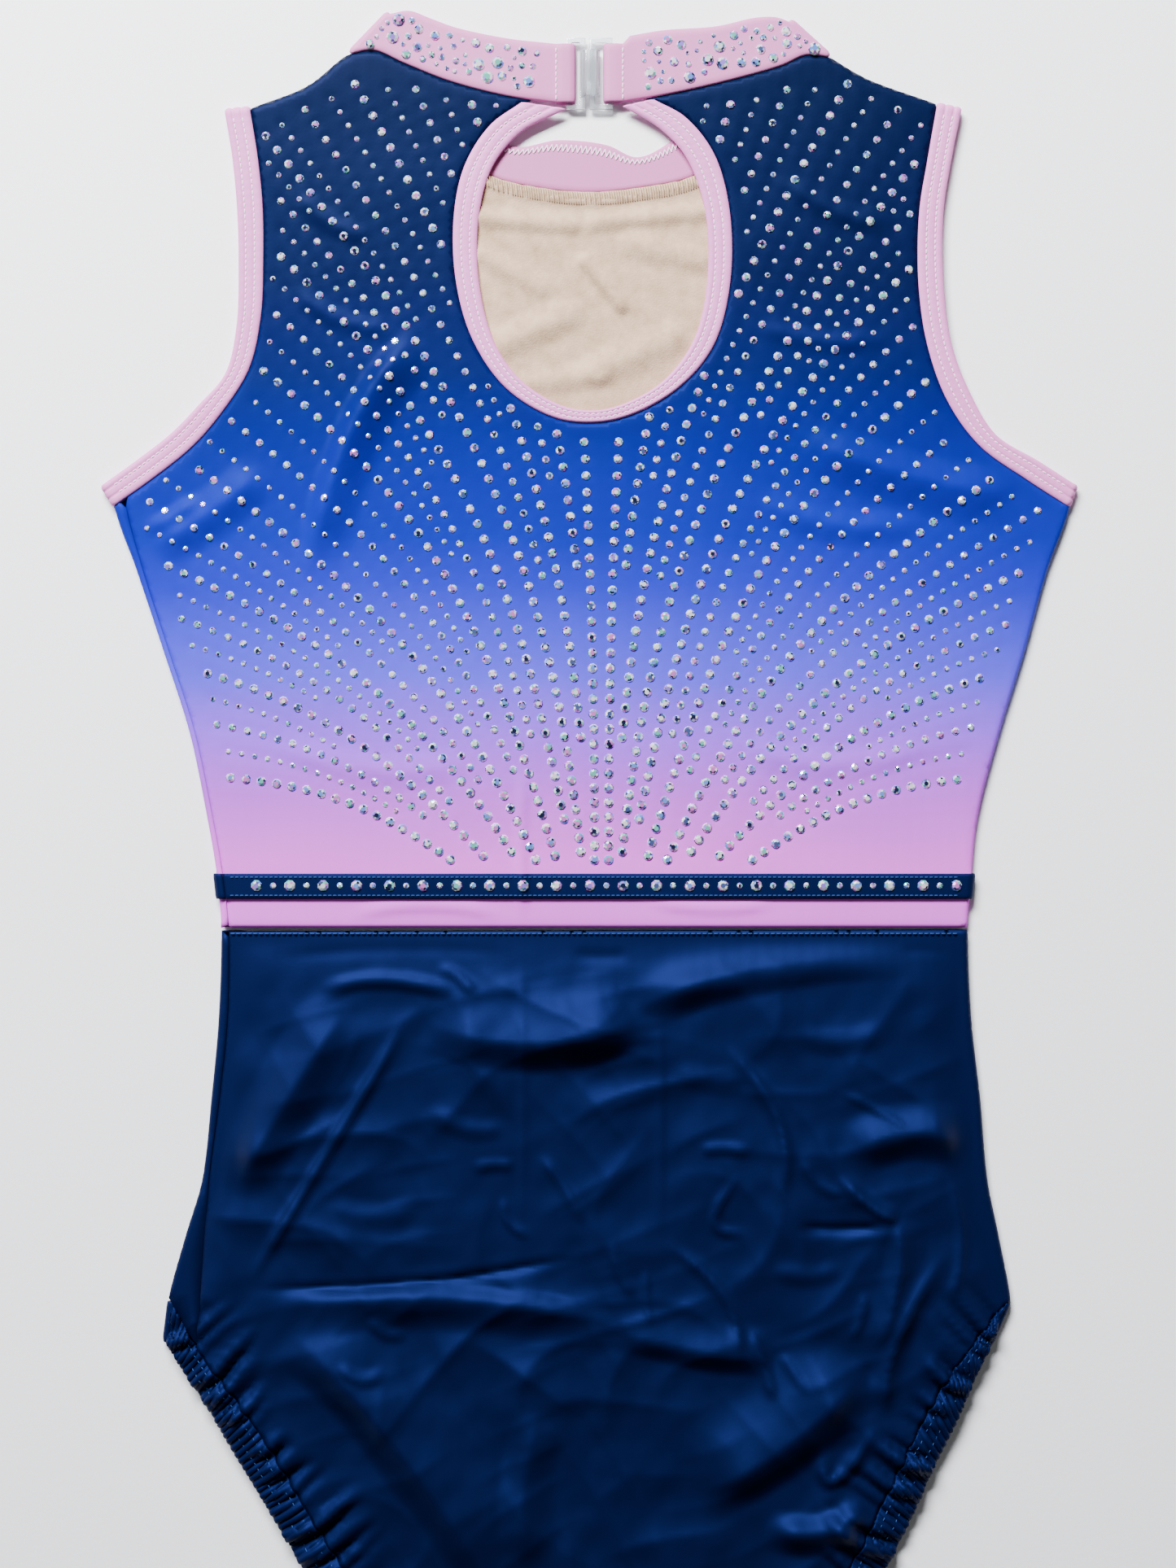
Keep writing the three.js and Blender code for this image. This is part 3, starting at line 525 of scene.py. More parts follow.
lining_knit, tree = new_material("matte_lining_knit")
where = add_node(tree, "ShaderNodeTexCoord")
mottle = add_node(
    tree, "ShaderNodeTexNoise",
    {"Scale": 160.0, "Detail": 4.0, "Roughness": 0.65},
    {"Vector": (where, "Object")},
)
tone = add_node(tree, "ShaderNodeValToRGB", links={"Fac": (mottle, 0)})
set_ramp(tone.color_ramp, [(0.25, "#a98868"), (0.70, "#cdab8c")])
stitch_grain = add_node(tree, "ShaderNodeTexVoronoi", {"Scale": 1500.0}, {"Vector": (where, "Object")})
bump = add_node(
    tree, "ShaderNodeBump",
    {"Strength": 0.25, "Distance": 0.0003},
    {"Height": (stitch_grain, "Distance")},
)
lining_shader = add_node(
    tree, "ShaderNodeBsdfPrincipled",
    {"Roughness": 0.85, "Sheen Weight": 0.3, "Sheen Roughness": 0.6},
    {"Base Color": (tone, "Color"), "Normal": (bump, 0)},
)
add_node(tree, "ShaderNodeOutputMaterial", links={"Surface": (lining_shader, 0)})

neck_line = line_of(collar_front, 80)
lining_top = neck_line[np.abs(neck_line[:, 0]) <= LINING_HALF] + (0, -SEAM)
lining_outline = np.vstack([
    [(-LINING_HALF, LINING_BOTTOM), (LINING_HALF, LINING_BOTTOM)],
    lining_top[::-1],
])
# the sewn and the free edge of the keyhole's binding
keyhole = table(
    "sx sy fx fy",
    (-25.2, 294.1, -8.6, 291.6),
    (-36.6, 285.8, -25.5, 282.8),
    (-45.6, 271.9, -35.6, 270.4),
    (-49.8, 254.5, -40.6, 252.2),
    (-49.5, 229.9, -40.5, 227.4),
    (-43.2, 206.8, -34.6, 205),
    (-30.6, 188.5, -24.6, 191.2),
    (-12.9, 177.8, -9.6, 182.2),
    (2, 176, 2.4, 180.6),
    (15.3, 178.7, 13.8, 183.4),
    (32.7, 188.5, 27.4, 191.6),
    (45.9, 204.2, 38.4, 206.4),
    (52.2, 228.4, 43.4, 227.6),
    (51.6, 256.3, 42.6, 254.4),
    (45.9, 275.6, 35.8, 273.6),
    (35.4, 288.8, 25.8, 284.6),
    (24, 295.2, 12.4, 292.6),
)
keyhole_hole = line_of(keyhole, 80)
# soft creases of the lining: from, to, height and half width
lining_creases = table(
    "x1 y1 x2 y2 h w",
    (-2, 236, 12, 219, 0.9, 3.4),
    (-32, 205, -8, 216, 0.8, 8),
    (4, 196, 30, 207, 0.8, 9),
    (-40, 238, -18, 226, 0.6, 6),
    (16, 242, 42, 236, 0.7, 7),
    (-42, 252, -6, 249, 0.7, 5),
    (2, 250, 42, 254, 0.7, 5),
    (-24, 190, 4, 194, 0.6, 6),
)


def lining_relief(p):
    """Soft creases, and the ridge where the overlock seam gathers the cut edge. Under the
    binding of the keyhole the lining is flat."""
    x, y = p[:, 0], p[:, 1]
    top = look_up(collar_front, "sx", "sy", x)
    ribs = 0.12 * np.sin(x * 2 * math.pi / 1.7) * (np.abs(top - y) < OVERLOCK)
    total = 0.5 * np.exp(-(((top - y - OVERLOCK + 1.4) / 1.5) ** 2)) + ribs
    c = lining_creases
    for i in range(len(c["h"])):
        ax, ay = c["x2"][i] - c["x1"][i], c["y2"][i] - c["y1"][i]
        t = np.clip(((x - c["x1"][i]) * ax + (y - c["y1"][i]) * ay) / (ax**2 + ay**2), 0, 1)
        off = np.hypot(x - c["x1"][i] - t * ax, y - c["y1"][i] - t * ay)
        total = total + c["h"][i] * ease(1 - off / c["w"][i])
    free = nearest(p[:, :2], resample(keyhole_hole, 2.0))[0] * inside_outline(p[:, :2], keyhole_hole)
    return np.clip(CREASES_RAISED * total * ease(free / 8), RELIEF_LOW, RELIEF_HIGH)


front_lining = cut_cloth(
    "front_lining_cloth",
    lining_outline,
    1.5,
    lambda x, y: np.column_stack([x, y, np.full_like(x, LINING_MID)]),
    lining_knit,
    relief=lining_relief,
)
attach(front_lining, "root")
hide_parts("front_lining")


# Back of the bodice. The same printed knit, cut away at the armholes, the neck and the
# large keyhole, laid on the front and turned round the right side.
collar_back_left = table(
    "sx sy fx fy",
    (-14, 294.1, -14, 315.8),
    (-30.9, 296.5, -30, 317.6),
    (-51.6, 301.9, -49, 321.6),
    (-68, 308.4, -58.5, 325),
    (-79.4, 313.2, -66.3, 327.8),
    (-87.6, 312, -73.4, 326.7),
)
collar_back_right = table(
    "sx sy fx fy",
    (88, 310.8, 73.6, 323.8),
    (80, 311.4, 69, 325.4),
    (70.8, 307.5, 61.5, 325.3),
    (50.1, 301.7, 46.8, 322.1),
    (29.1, 297, 27, 320.6),
    (15, 294.6, 15, 318.6),
)
# Folds of the back: start, middle and end, height over the cloth beside it, width to the
# left and to the right of that line of travel, and 1 where its crest is sharp
fold_columns = "x1 y1 x2 y2 x3 y3 h wl wr sharp"
bodice_folds = table(
    fold_columns,
    (-62, 209, -88, 172, -103, 117, 1.7, 16, 8, 0),
    (74, 172, 118, 156, 160, 149, 1.2, 12, 16, 0),
    (-118, 160, -140, 142, -164, 128, 1.0, 12, 12, 0),
    (-142, 150, -156, 140, -168, 136, 0.5, 5, 5, 0),
    (60, 150, 90, 138, 126, 140, 0.5, 9, 9, 0),
    (-24, -8, -25, 20, -24, 50, 0.35, 4, 4, 0),
    (-90, -6, -60, -2, -30, -6, 0.3, 5, 4, 0),
    (20, 0, 45, -3, 70, -1, 0.3, 5, 4, 0),
    (-108, 262, -96, 250, -80, 244, 0.4, 6, 6, 0),
    (70, 268, 90, 254, 112, 250, 0.4, 7, 7, 0),
    (-110, 226, -92, 214, -70, 210, 0.35, 6, 6, 0),
    (60, 214, 84, 206, 112, 208, 0.35, 6, 6, 0),
    (-120, 60, -80, 48, -40, 52, 0.3, 9, 9, 0),
    (50, 60, 90, 50, 130, 60, 0.3, 9, 9, 0),
)
brief_folds = table(
    fold_columns,
    (-62, -44, -18, -52, 22, -40, 3.6, 26, 13, 0),
    (14, -42, 60, -25, 125, -19, 3.0, 18, 12, 0),
    (-88, -38, -110, -72, -131, -108, 3.2, 15, 18, 0),
    (-67, -44, -96, -92, -126, -142, 1.8, 5, 4, 1),
    (-122, -150, -50, -146, 14, -157, 2.4, 7, 15, 0),
    (6, -157, 40, -165, 68, -168, 2.2, 14, 9, 0),
    (-112, -158, -72, -196, -28, -264, 4.4, 34, 15, 0),
    (-18, -188, -24, -215, -22, -246, 2.0, 14, 11, 0),
    (113, -116, 113, -140, 104, -168, 3.0, 12, 9, 1),
    (132, -128, 112, -164, 110, -190, 2.4, 7, 8, 1),
    (92, -95, 118, -85, 143, -92, 3.0, 14, 13, 0),
    (91, -100, 103, -112, 114, -117, 2.2, 6, 5, 1),
    (102, -170, 74, -197, 38, -219, 4.2, 15, 30, 0),
    (85, -199, 90, -213, 107, -190, 2.0, 6, 5, 1),
    (64, -229, 86, -231, 101, -221, 3.0, 8, 12, 0),
    (60, -250, 40, -280, 18, -305, 2.0, 12, 12, 0),
    (-60, -262, -40, -285, -16, -305, 2.0, 12, 12, 0),
    (-25, -12, -24.5, -70, -25, -122, 0.35, 5, 3, 1),
    (26, -42, 26.5, -80, 26, -126, 0.35, 3, 5, 1),
    (48, -52, 70, -82, 69, -113, 1.6, 5, 6, 1),
    (91, -70, 106, -77, 117, -84, 0.7, 3, 3, 1),
    (40, -92, 50, -91, 60, -93, 0.7, 4, 4, 0),
    (57, -99, 46, -118, 60, -122, 1.1, 4, 4, 1),
    (75, -120, 93, -121, 110, -119, -1.0, 4, 4, 0),
    (-19, -93, -9, -106, -2, -120, 1.0, 4, 4, 1),
    (-31, -108, -30, -118, -21, -124, 0.8, 4, 3, 1),
    (-43, -99, -35, -97, -27, -98, 0.6, 4, 4, 0),
    (8, -125, 11, -136, 17, -146, 0.9, 4, 4, 1),
    (21, -134, 21, -146, 23, -156, 0.7, 3, 3, 1),
    (26, -125, 50, -146, 54, -170, 1.4, 5, 5, 1),
    (59, -157, 64, -170, 68, -184, 1.5, 5, 5, 1),
    (70, -166, 75, -173, 80, -180, 0.9, 4, 4, 1),
    (101, -143, 100, -153, 96, -162, 0.8, 4, 4, 1),
    (-99, -34, -76, -29, -46, -35, 1.1, 5, 5, 0),
    (-56, -24, -48, -28, -42, -35, 0.8, 4, 4, 0),
    (-119, -21, -70, -17, -27, -19, -1.0, 5, 5, 0),
    (-7, -19, 4, -20, 16, -19, -1.1, 5, 5, 0),
    (113, -19, 124, -18, 135, -20, -0.8, 4, 4, 0),
    (-128, -143, -60, -140, -1, -130, -1.4, 4, 4, 1),
    (132, -100, 137, -126, 132, -148, 1.3, 4, 4, 1),
    (-132, -60, -134, -96, -138, -120, 0.9, 5, 5, 0),
    (-100, -110, -80, -116, -62, -112, 0.6, 7, 7, 0),
    (-60, -76, -44, -84, -30, -82, 0.6, 6, 6, 0),
    (-80, -152, -76, -158, -66, -160, 0.6, 4, 4, 0),
    (-92, -168, -84, -174, -74, -172, 0.7, 4, 4, 0),
    (30, -60, 44, -66, 60, -64, 0.5, 7, 7, 0),
    (76, -48, 92, -52, 110, -46, 0.6, 7, 7, 0),
    (66, -134, 80, -138, 94, -134, 0.6, 6, 6, 0),
    (78, -92, 84, -104, 96, -108, 0.9, 5, 5, 1),
)
BRIEF_RISE = 1.6
# height and width of the soft and of the sharp folds, in shares of those of the solid
FOLD_RAISED = (1.75, 1.35)
FOLD_WIDENED = (0.88, 0.95)
FOLD_FADE = 16  # width along each side where the folds fade in
BODICE_RAISED = 1.4  # the same share once more for the folds of the bodice


def fold_heights(folds, x, y):
    """What a table of folds adds at each place."""
    total = np.zeros_like(x)
    for i in range(len(folds["h"])):
        row = {key: folds[key][i] for key in folds}
        t = np.linspace(0, 1, 13)
        px, py = ((2 * t - 1) * (t - 1) * row[k + "1"] + 4 * t * (1 - t) * row[k + "2"]
                  + t * (2 * t - 1) * row[k + "3"] for k in "xy")
        raised, widen = FOLD_RAISED[int(row["sharp"])], FOLD_WIDENED[int(row["sharp"])]
        row["wl"], row["wr"] = row["wl"] * widen, row["wr"] * widen
        reach = max(row["wl"], row["wr"])
        near = (x > px.min() - reach) & (x < px.max() + reach)
        near &= (y > py.min() - reach) & (y < py.max() + reach)
        nx, ny = x[near], y[near]
        best = np.full(len(nx), np.inf)
        left = np.zeros(len(nx), bool)
        at = np.zeros(len(nx))
        for k in range(12):
            rx, ry = px[k + 1] - px[k], py[k + 1] - py[k]
            u = np.clip(((nx - px[k]) * rx + (ny - py[k]) * ry) / (rx**2 + ry**2), 0, 1)
            gx, gy = nx - px[k] - u * rx, ny - py[k] - u * ry
            off = np.hypot(gx, gy)
            closer = off < best
            best = np.where(closer, off, best)
            left = np.where(closer, rx * gy - ry * gx > 0, left)
            at = np.where(closer, (k + u) / 12, at)
        inward = np.clip(1 - best / np.where(left, row["wl"], row["wr"]), 0, 1)
        shape = inward**2 if row["sharp"] else 0.6 * ease(inward) + 0.4 * inward**1.6
        total[near] += raised * row["h"] * ease(np.minimum(at, 1 - at) / 0.25) * shape
    return total


def waves(x, y, seed, length, parts=7):
    """A gentle unevenness about 1 high, its crests about one length apart."""
    pick = np.random.default_rng(seed)
    total = np.zeros_like(x)
    for _ in range(parts):
        turn, shift = pick.uniform(0, math.pi), pick.uniform(0, 2 * math.pi)
        step = length * pick.uniform(0.7, 1.5)
        total += np.sin((x * math.cos(turn) + y * math.sin(turn)) * 2 * math.pi / step + shift)
    return total / math.sqrt(parts)


# Smaller creases between the folds: heading in degrees, spacing, height, seed of the drift
crumples = (
    (62, 41, 1.6, 21), (-52, 34, 1.4, 22), (8, 52, 1.5, 23), (100, 27, 0.8, 24),
    (34, 14, 0.4, 25), (-70, 17, 0.45, 26),
)


def crumple(x, y):
    """Creases with sharp crests that wander, fade out and start again."""
    total = np.zeros_like(x)
    for heading, spacing, high, seed in crumples:
        turn = math.radians(heading)
        run = x * math.cos(turn) + y * math.sin(turn) + 0.28 * spacing * waves(x, y, seed, 95)
        crest = 1 - np.abs(np.sin(run * math.pi / spacing))
        total += high * crest**1.6 * ease(0.35 + 0.55 * waves(x, y, seed + 40, 75, 4))
    return total


leg_left = table(
    "sx sy fx fy",
    (-153.8, -148, -155.6, -163),
    (-143.1, -166.5, -150, -172.6),
    (-131.7, -181.4, -138.9, -189.2),
    (-120.6, -196.6, -129.8, -205),
    (-107.4, -218, -117.4, -225.4),
    (-91.5, -244, -102, -251.4),
    (-75, -268, -84.4, -276.4),
    (-57, -290, -66.2, -298.6),
    (-39, -306.5, -48.4, -315),
    (-27.6, -317.4, -38.6, -322),
    (-24.4, -326, -36.7, -326),
)
leg_right = table(
    "sx sy fx fy",
    (153.9, -148, 147, -163.8),
    (142.2, -162, 142.9, -173.6),
    (130.6, -178, 135.6, -190.8),
    (119.6, -197.6, 126.6, -209.4),
    (108, -221.6, 117.4, -230),
    (94.2, -247, 105, -253.4),
    (76.2, -269, 85.8, -277),
    (58, -290.6, 67, -299),
    (40, -307, 49, -315.4),
    (27.6, -317.4, 38.6, -322),
    (24.4, -326, 36.7, -326),
)
leg_lines = [resample(line_of(rows, 120), 1.0) for rows in (leg_left, leg_right)]
GATHER_REACH = 24
GATHER_RISE = 1.2


def leg_gathers(x, y):
    """Uneven waves that the elastic of the leg hems draws into the brief."""
    total = np.zeros_like(x)
    for k, line in enumerate(leg_lines):
        near = np.abs(x) > 15
        near &= y < -140
        away, which = nearest(np.column_stack([x[near], y[near]]), line)
        s = which.astype(float)
        pick = np.random.default_rng(40 + k)
        swing = np.zeros_like(s)
        for length, high in ((8.5, 1.0), (11.5, 0.8), (5.6, 0.35)):
            shift = pick.uniform(0, 6)
            lean = pick.uniform(0.08, 0.22)
            swing += high * np.sin((s + lean * away) * 2 * math.pi / length + shift)
        reach = GATHER_REACH * (0.75 + 0.35 * np.sin(s / 13 + k))
        fade = ease(1 - away / reach) * ease(s / 14)
        total[near] += GATHER_RISE * swing * fade
    return total


def lift(x, y):
    """How far the cloth of the back stands above its flat place."""
    x, y = np.asarray(x, float), np.asarray(y, float)
    inside = np.minimum(x - left_fold(y), right_fold(y) - x) - 3
    ends = ease((WAIST_SEAM_Y - 3 - y) / 20) * ease((y + 326) / 30)
    on_brief = ease((WAIST_SEAM_Y - y) / 8)
    total = BRIEF_RISE * ends + BODICE_RAISED * fold_heights(bodice_folds, x, y)
    total += fold_heights(brief_folds, x, y) * ends
    total += on_brief * (0.3 * waves(x, y, 5, 34) + 0.1 * waves(x, y, 6, 12)) * ends
    total += on_brief * crumple(x, y) * ends
    total += (1 - on_brief) * 0.10 * waves(x, y, 8, 40)
    return ease(inside / FOLD_FADE) * total + leg_gathers(x, y) * ease((y + 326) / 14)


def place_back(s, y, out=0.0):
    """Where the back lies: s is measured flat across it, round the right fold and on."""
    radius, centre = fold_radius(y, out), right_turn(y, out)
    past = s - centre
    angle = np.clip(past / radius, 0, math.pi)
    beyond = np.maximum(past - math.pi * radius, 0)
    x = np.where(past > 0, centre + radius * np.sin(angle) - beyond, s)
    z = BACK_MID + out - radius * (1 - np.cos(angle))
    return np.column_stack([x, y, z + np.where(past > 0, 0, lift(np.minimum(s, centre), y))])


def back_left_border(y):
    return left_fold(y) + look_up(sides, "y", "inset", y) + SEAM / 2


def back_right_border(y, out=0.0):
    return right_turn(y, out) + math.pi * fold_radius(y, out) + UNDER_WRAP


# Stones of the bodice stand in rows that rise from the waist like a fountain. Each row is
# a curve that leaves the base at its own heading and bends out to its end, at the heading
# given there in degrees from straight up. A row starts where those set before it, every
# fourth one first, stand far enough away.
# spacing along a row at the base and far up it, in rows of large and of small stones
PITCH_LARGE, PITCH_SMALL = (5.1, 6.7), (4.3, 5.8)
ROW_LENGTH = 230  # height up a row where it has the second spacing
STONE_CLEAR = 3.2  # from a stone to a band
ROW_ENDS_APART = 11
ROWS_CLEAR = (4.8, 5.2, 4.6)  # from a row to those set before it, for each tier
FAN_CENTRE = 4.5  # x of the middle of the fountain
FAN_HALF = 53
FAN_Y = 15
FAN_HEADING = 55
FAN_CROWDED = 2.2  # how strongly the rows crowd toward the middle of the base
MIDDLE_ROWS_HALF = 2.6  # half the distance between the two middle rows
ROW_PULL = 0.40  # how far a row keeps its headings, as a share of its length
STONES_APART = 1.7
# rows of each tier: one in how many, the first, radius of its stones at the base and far up
ROW_TIERS = ((4, 0, 2.05, 1.75), (4, 2, 1.75, 1.5), (2, 1, 1.2, 1.1))
LARGE_FROM = 1.5  # rows of stones over this radius have the wider pitch
row_ends = table(
    "x y heading",
    (146, 46, 86),
    (156, 82, 77),
    (170, 122, 68),
    (170, 148, 60),
    (150, 163, 54),
    (126, 200, 52),
    (121, 232, 48),
    (122, 262, 43),
    (126, 290, 38),
    (104, 300, 33),
    (86, 316, 27),
    (66, 326, 20),
    (46, 332, 13.5),
    (30, 340, 8.5),
    (20, 345, 5),
)


def heading_vector(degrees):
    return np.array([math.sin(math.radians(degrees)), math.cos(math.radians(degrees))])


def spaced(line, pitch):
    """Points along a line whose spacing grows from the first to the second pitch."""
    run = np.r_[0, np.cumsum(np.linalg.norm(np.diff(line, axis=0), axis=1))]
    at = [0.0]
    while at[-1] < run[-1]:
        share = min(1.0, (at[-1] + line[0, 1]) / ROW_LENGTH)
        at.append(at[-1] + pitch[0] + (pitch[1] - pitch[0]) * share)
    return np.column_stack([np.interp(at[:-1], run, column) for column in line.T])


def stone_rows():
    """Places and radii along the rows, before any is left out."""
    ends = resample(np.column_stack(list(row_ends.values())), ROW_ENDS_APART)
    found, lines = [], []
    last = len(ends) - 1
    for tier, (step, first, big, small) in enumerate(ROW_TIERS):
        for k in range(last - first, -1, -step):
            share = k / last
            start_x = FAN_HALF * (1 - share) ** FAN_CROWDED + MIDDLE_ROWS_HALF
            start = np.array([start_x, FAN_Y + 1.5 * (k % 3)])
            leave = heading_vector(FAN_HEADING * (1 - share) ** 2)
            end, arrive = ends[k, :2], heading_vector(ends[k, 2])
            pull = ROW_PULL * np.hypot(*(end - start))
            p1, p2 = start + pull * leave, end - pull * arrive
            t = np.linspace(0, 1, 120)[:, None]
            line = (1 - t) ** 3 * start + 3 * t * (1 - t) ** 2 * p1
            line += 3 * t**2 * (1 - t) * p2 + t**3 * end
            if lines:
                close = np.flatnonzero(nearest(line, np.vstack(lines))[0] < ROWS_CLEAR[tier])
                line = line[close.max() + 1:] if len(close) else line
            if len(line) < 8:
                continue
            lines.append(line)
            row = spaced(line, PITCH_LARGE if big > LARGE_FROM else PITCH_SMALL)
            far = np.clip(row[:, 1] / 190 + row[:, 0] / 300, 0, 1)
            for sign in (-1, 1):
                found += [(sign * x + FAN_CENTRE, y, big + (small - big) * f)
                          for (x, y), f in zip(row, far)]
    return np.array(found)


def fountain():
    """The stones of the rows that lie on the field and clear of the others."""
    found = stone_rows()
    edges = np.vstack([
        resample(line_of(rows, 120), 1.5)
        for rows in (keyhole, armhole_left, armhole_right, collar_back_left, collar_back_right)
    ])
    free = nearest(found[:, :2], edges)[0] > STONE_CLEAR
    free &= inside_outline(found[:, :2], stone_field) & ~inside_outline(found[:, :2], keyhole_hole)
    kept = np.zeros((0, 3))
    for stone in found[free]:
        gaps = np.hypot(*(kept[:, :2] - stone[:2]).T) - 0.8 * (kept[:, 2] + stone[2])
        if (gaps > STONES_APART).all():
            kept = np.vstack([kept, stone])
    return kept


back_outline = np.vstack([
    side_run(back_right_border, WAIST_SEAM_Y + SEAM / 2, UNDERARM_Y),
    right_arm[::-1][1:],
    shoulder_run(127, 90.8),
    line_of(collar_back_right, 24)[1:-2],
    keyhole_hole[::-1],
    line_of(collar_back_left, 24)[2:-1],
    shoulder_run(-90.4, -124),
    left_arm[left_arm[:, 0] > -170.9],
    side_run(back_left_border, WAIST_SEAM_Y + SEAM / 2, UNDERARM_Y)[::-1],
])
stone_field = np.vstack([
    side_run(lambda y: right_fold(y) - 9, 12, UNDERARM_Y),
    right_arm[::-1][2:],
    shoulder_run(127, 90.8) - (0, 7),
    [(80, 300), (-80, 300)],
    shoulder_run(-90.4, -124) - (0, 7),
    left_arm[:-2],
    side_run(lambda y: left_fold(y) + 9, 12, UNDERARM_Y)[::-1],
])
stones = fountain()
DIMPLE = 0.24
DIMPLE_WIDTH = 2.3


def stone_dimples(p):
    """The glue draws the knit in round each stone."""
    away = nearest(p[:, :2], stones[:, :2])[0]
    on_top = p[:, 2] > BACK_MID - 0.6
    return np.where(on_top, -DIMPLE * np.exp(-((away / DIMPLE_WIDTH) ** 2)), 0)


back_bodice = cut_cloth(
    "back_bodice_cloth",
    back_outline,
    1.7,
    lambda s, y: over_the_end(place_back(s, y), shoulder_y, 1, True),
    ombre_knit,
    relief=stone_dimples,
    extra=round_fold(right_turn, fold_radius, 1, -8, UNDERARM_Y, 1.7),
)
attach(back_bodice, "root")
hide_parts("back_bodice")


# Brief. The lower half of the suit, back and front, of plain navy satin stretch knit. It
# lies loosely: the elastic of the legs and old packing folds throw it into creases.
navy_knit, where, navy_shader = satin_knit("satin_stretch_knit_navy", 0.6, 0.42, "#5c7cff")
navy_shader.inputs["Base Color"].default_value = linear("#010724")

CROTCH_Y = -326.25
HIP_Y = -147
left_leg, right_leg = line_of(leg_left, 80), line_of(leg_right, 80)


SIDE_SEAM_END = -165.6
crotch_end = np.array([(x, CROTCH_Y - TURN_LENGTH) for x in np.linspace(24.4, -24.4, 12)])
brief_top = WAIST_SEAM_Y - SEAM / 2
at_hip = left_leg[left_leg[:, 1] > SIDE_SEAM_END]


def wrapped(line):
    """A line on the top side of the left fold, in the flat measure of the front."""
    turn, radius = left_turn(line[:, 1]), fold_radius(line[:, 1])
    return np.column_stack([2 * turn - math.pi * radius - line[:, 0], line[:, 1]])


front_brief_outline = np.vstack([
    side_run(front_right_border, HIP_Y, brief_top)[::-1],
    right_leg[1:],
    crotch_end,
    left_leg[::-1],
    [(float(left_turn(-145.5) - math.pi * fold_radius(-145.5) / 2), -145.5)],
    wrapped(at_hip),
    side_run(front_left_border, SIDE_SEAM_END, brief_top),
])
back_brief_outline = np.vstack([
    side_run(back_right_border, HIP_Y, brief_top)[::-1],
    right_leg[1:],
    crotch_end,
    left_leg[len(at_hip):][::-1],
    side_run(back_left_border, SIDE_SEAM_END, brief_top),
])


def crotch_line(x):
    return np.full_like(x, CROTCH_Y)


front_brief = cut_cloth(
    "front_brief_cloth",
    front_brief_outline,
    4.0,
    lambda s, y: over_the_end(place_front(s, y), crotch_line, -1, False),
    navy_knit,
    extra=round_fold(left_turn, fold_radius, -1, HIP_Y, -12, 4),
)
back_brief = cut_cloth(
    "back_brief_cloth",
    back_brief_outline,
    1.5,
    lambda s, y: over_the_end(place_back(s, y), crotch_line, -1, True),
    navy_knit,
    extra=round_fold(right_turn, fold_radius, 1, HIP_Y, -12, 1.7),
    dip=0.12,
)
for piece in (front_brief, back_brief):
    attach(piece, "root")
    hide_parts(piece.name.replace("_cloth", ""))


# Waist strips. A narrow navy strip laid on the bodice just above the waist seam and
# coverstitched down along both edges, one length on the back and one on the front.
def thick_grid(name, grid, thickness, material, ring=False):
    """Closed strip round a grid of points, half its thickness to each side of them."""
    rows, columns = grid.shape[:2]
    if ring:
        along = np.roll(grid, -1, 0) - np.roll(grid, 1, 0)
    else:
        along = np.gradient(grid, axis=0)
    normal = np.cross(along, np.gradient(grid, axis=1))
    normal /= np.maximum(np.linalg.norm(normal, axis=2), 1e-9)[..., None]
    half = normal * (np.asarray(thickness, float) / 2)[..., None]
    points = np.concatenate([(grid + half).reshape(-1, 3), (grid - half).reshape(-1, 3)])
    number = np.arange(rows * columns).reshape(rows, columns)
    if ring:
        number = np.vstack([number, number[:1]])
    n = rows * columns
    a, b, c, d = number[:-1, :-1], number[1:, :-1], number[1:, 1:], number[:-1, 1:]
    faces = [np.stack([a, b, c, d], -1), np.stack([a, d, c, b], -1) + n]
    for column, turn in ((0, 1), (columns - 1, -1)):
        p, q = number[:-1, column], number[1:, column]
        faces.append(np.stack([p, p + n, q + n, q], -1)[:, ::turn])
    if not ring:
        for row, turn in ((0, -1), (rows - 1, 1)):
            p, q = number[row, :-1], number[row, 1:]
            faces.append(np.stack([p, p + n, q + n, q], -1)[:, ::turn])
    faces = np.vstack([f.reshape(-1, 4) for f in faces])
    x = points[faces]
    volume = np.einsum("ij,ij->i", x[:, 0], np.cross(x[:, 1], x[:, 2])).sum()
    volume += np.einsum("ij,ij->i", x[:, 0], np.cross(x[:, 2], x[:, 3])).sum()
    if volume < 0:
        faces = faces[:, ::-1]
    return make_object(name, points, faces, material)


STRIP_Y = 5.0
STRIP_COLUMN = 1.1


def strip_rim(across):
    """Thickness of the strip at shares of its width, thin at its turned edges."""
    rim = np.minimum(across, 1 - across)
    return CLOTH * (0.45 + 0.55 * ease(rim / 0.10))


def waist_strip(name, place, start, end):
    heights = np.linspace(STRIP_LOW, STRIP_HIGH, 15)
    share = (heights - STRIP_LOW) / (STRIP_HIGH - STRIP_LOW)
    columns = int((end(STRIP_Y) - start(STRIP_Y)) / STRIP_COLUMN)
    grid = []
    for y in heights:
        s = np.linspace(start(y), end(y), columns)
        grid.append(place(s, np.full_like(s, y), OVERLAID))
    grid = np.array(grid)
    thickness = np.repeat(strip_rim(share)[:, None], columns, 1)
    made = thick_grid(name, grid, thickness, navy_knit)
    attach(made, "root")
    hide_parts(name.replace("_cloth", ""))
    return made


strip_back = waist_strip(
    "waist_strip_back_cloth", place_back,
    back_left_border, lambda y: back_right_border(y, OVERLAID),
)
strip_front = waist_strip(
    "waist_strip_front_cloth", place_front,
    lambda y: front_left_border(y, OVERLAID), lambda y: front_right_border(y, OVERLAID),
)


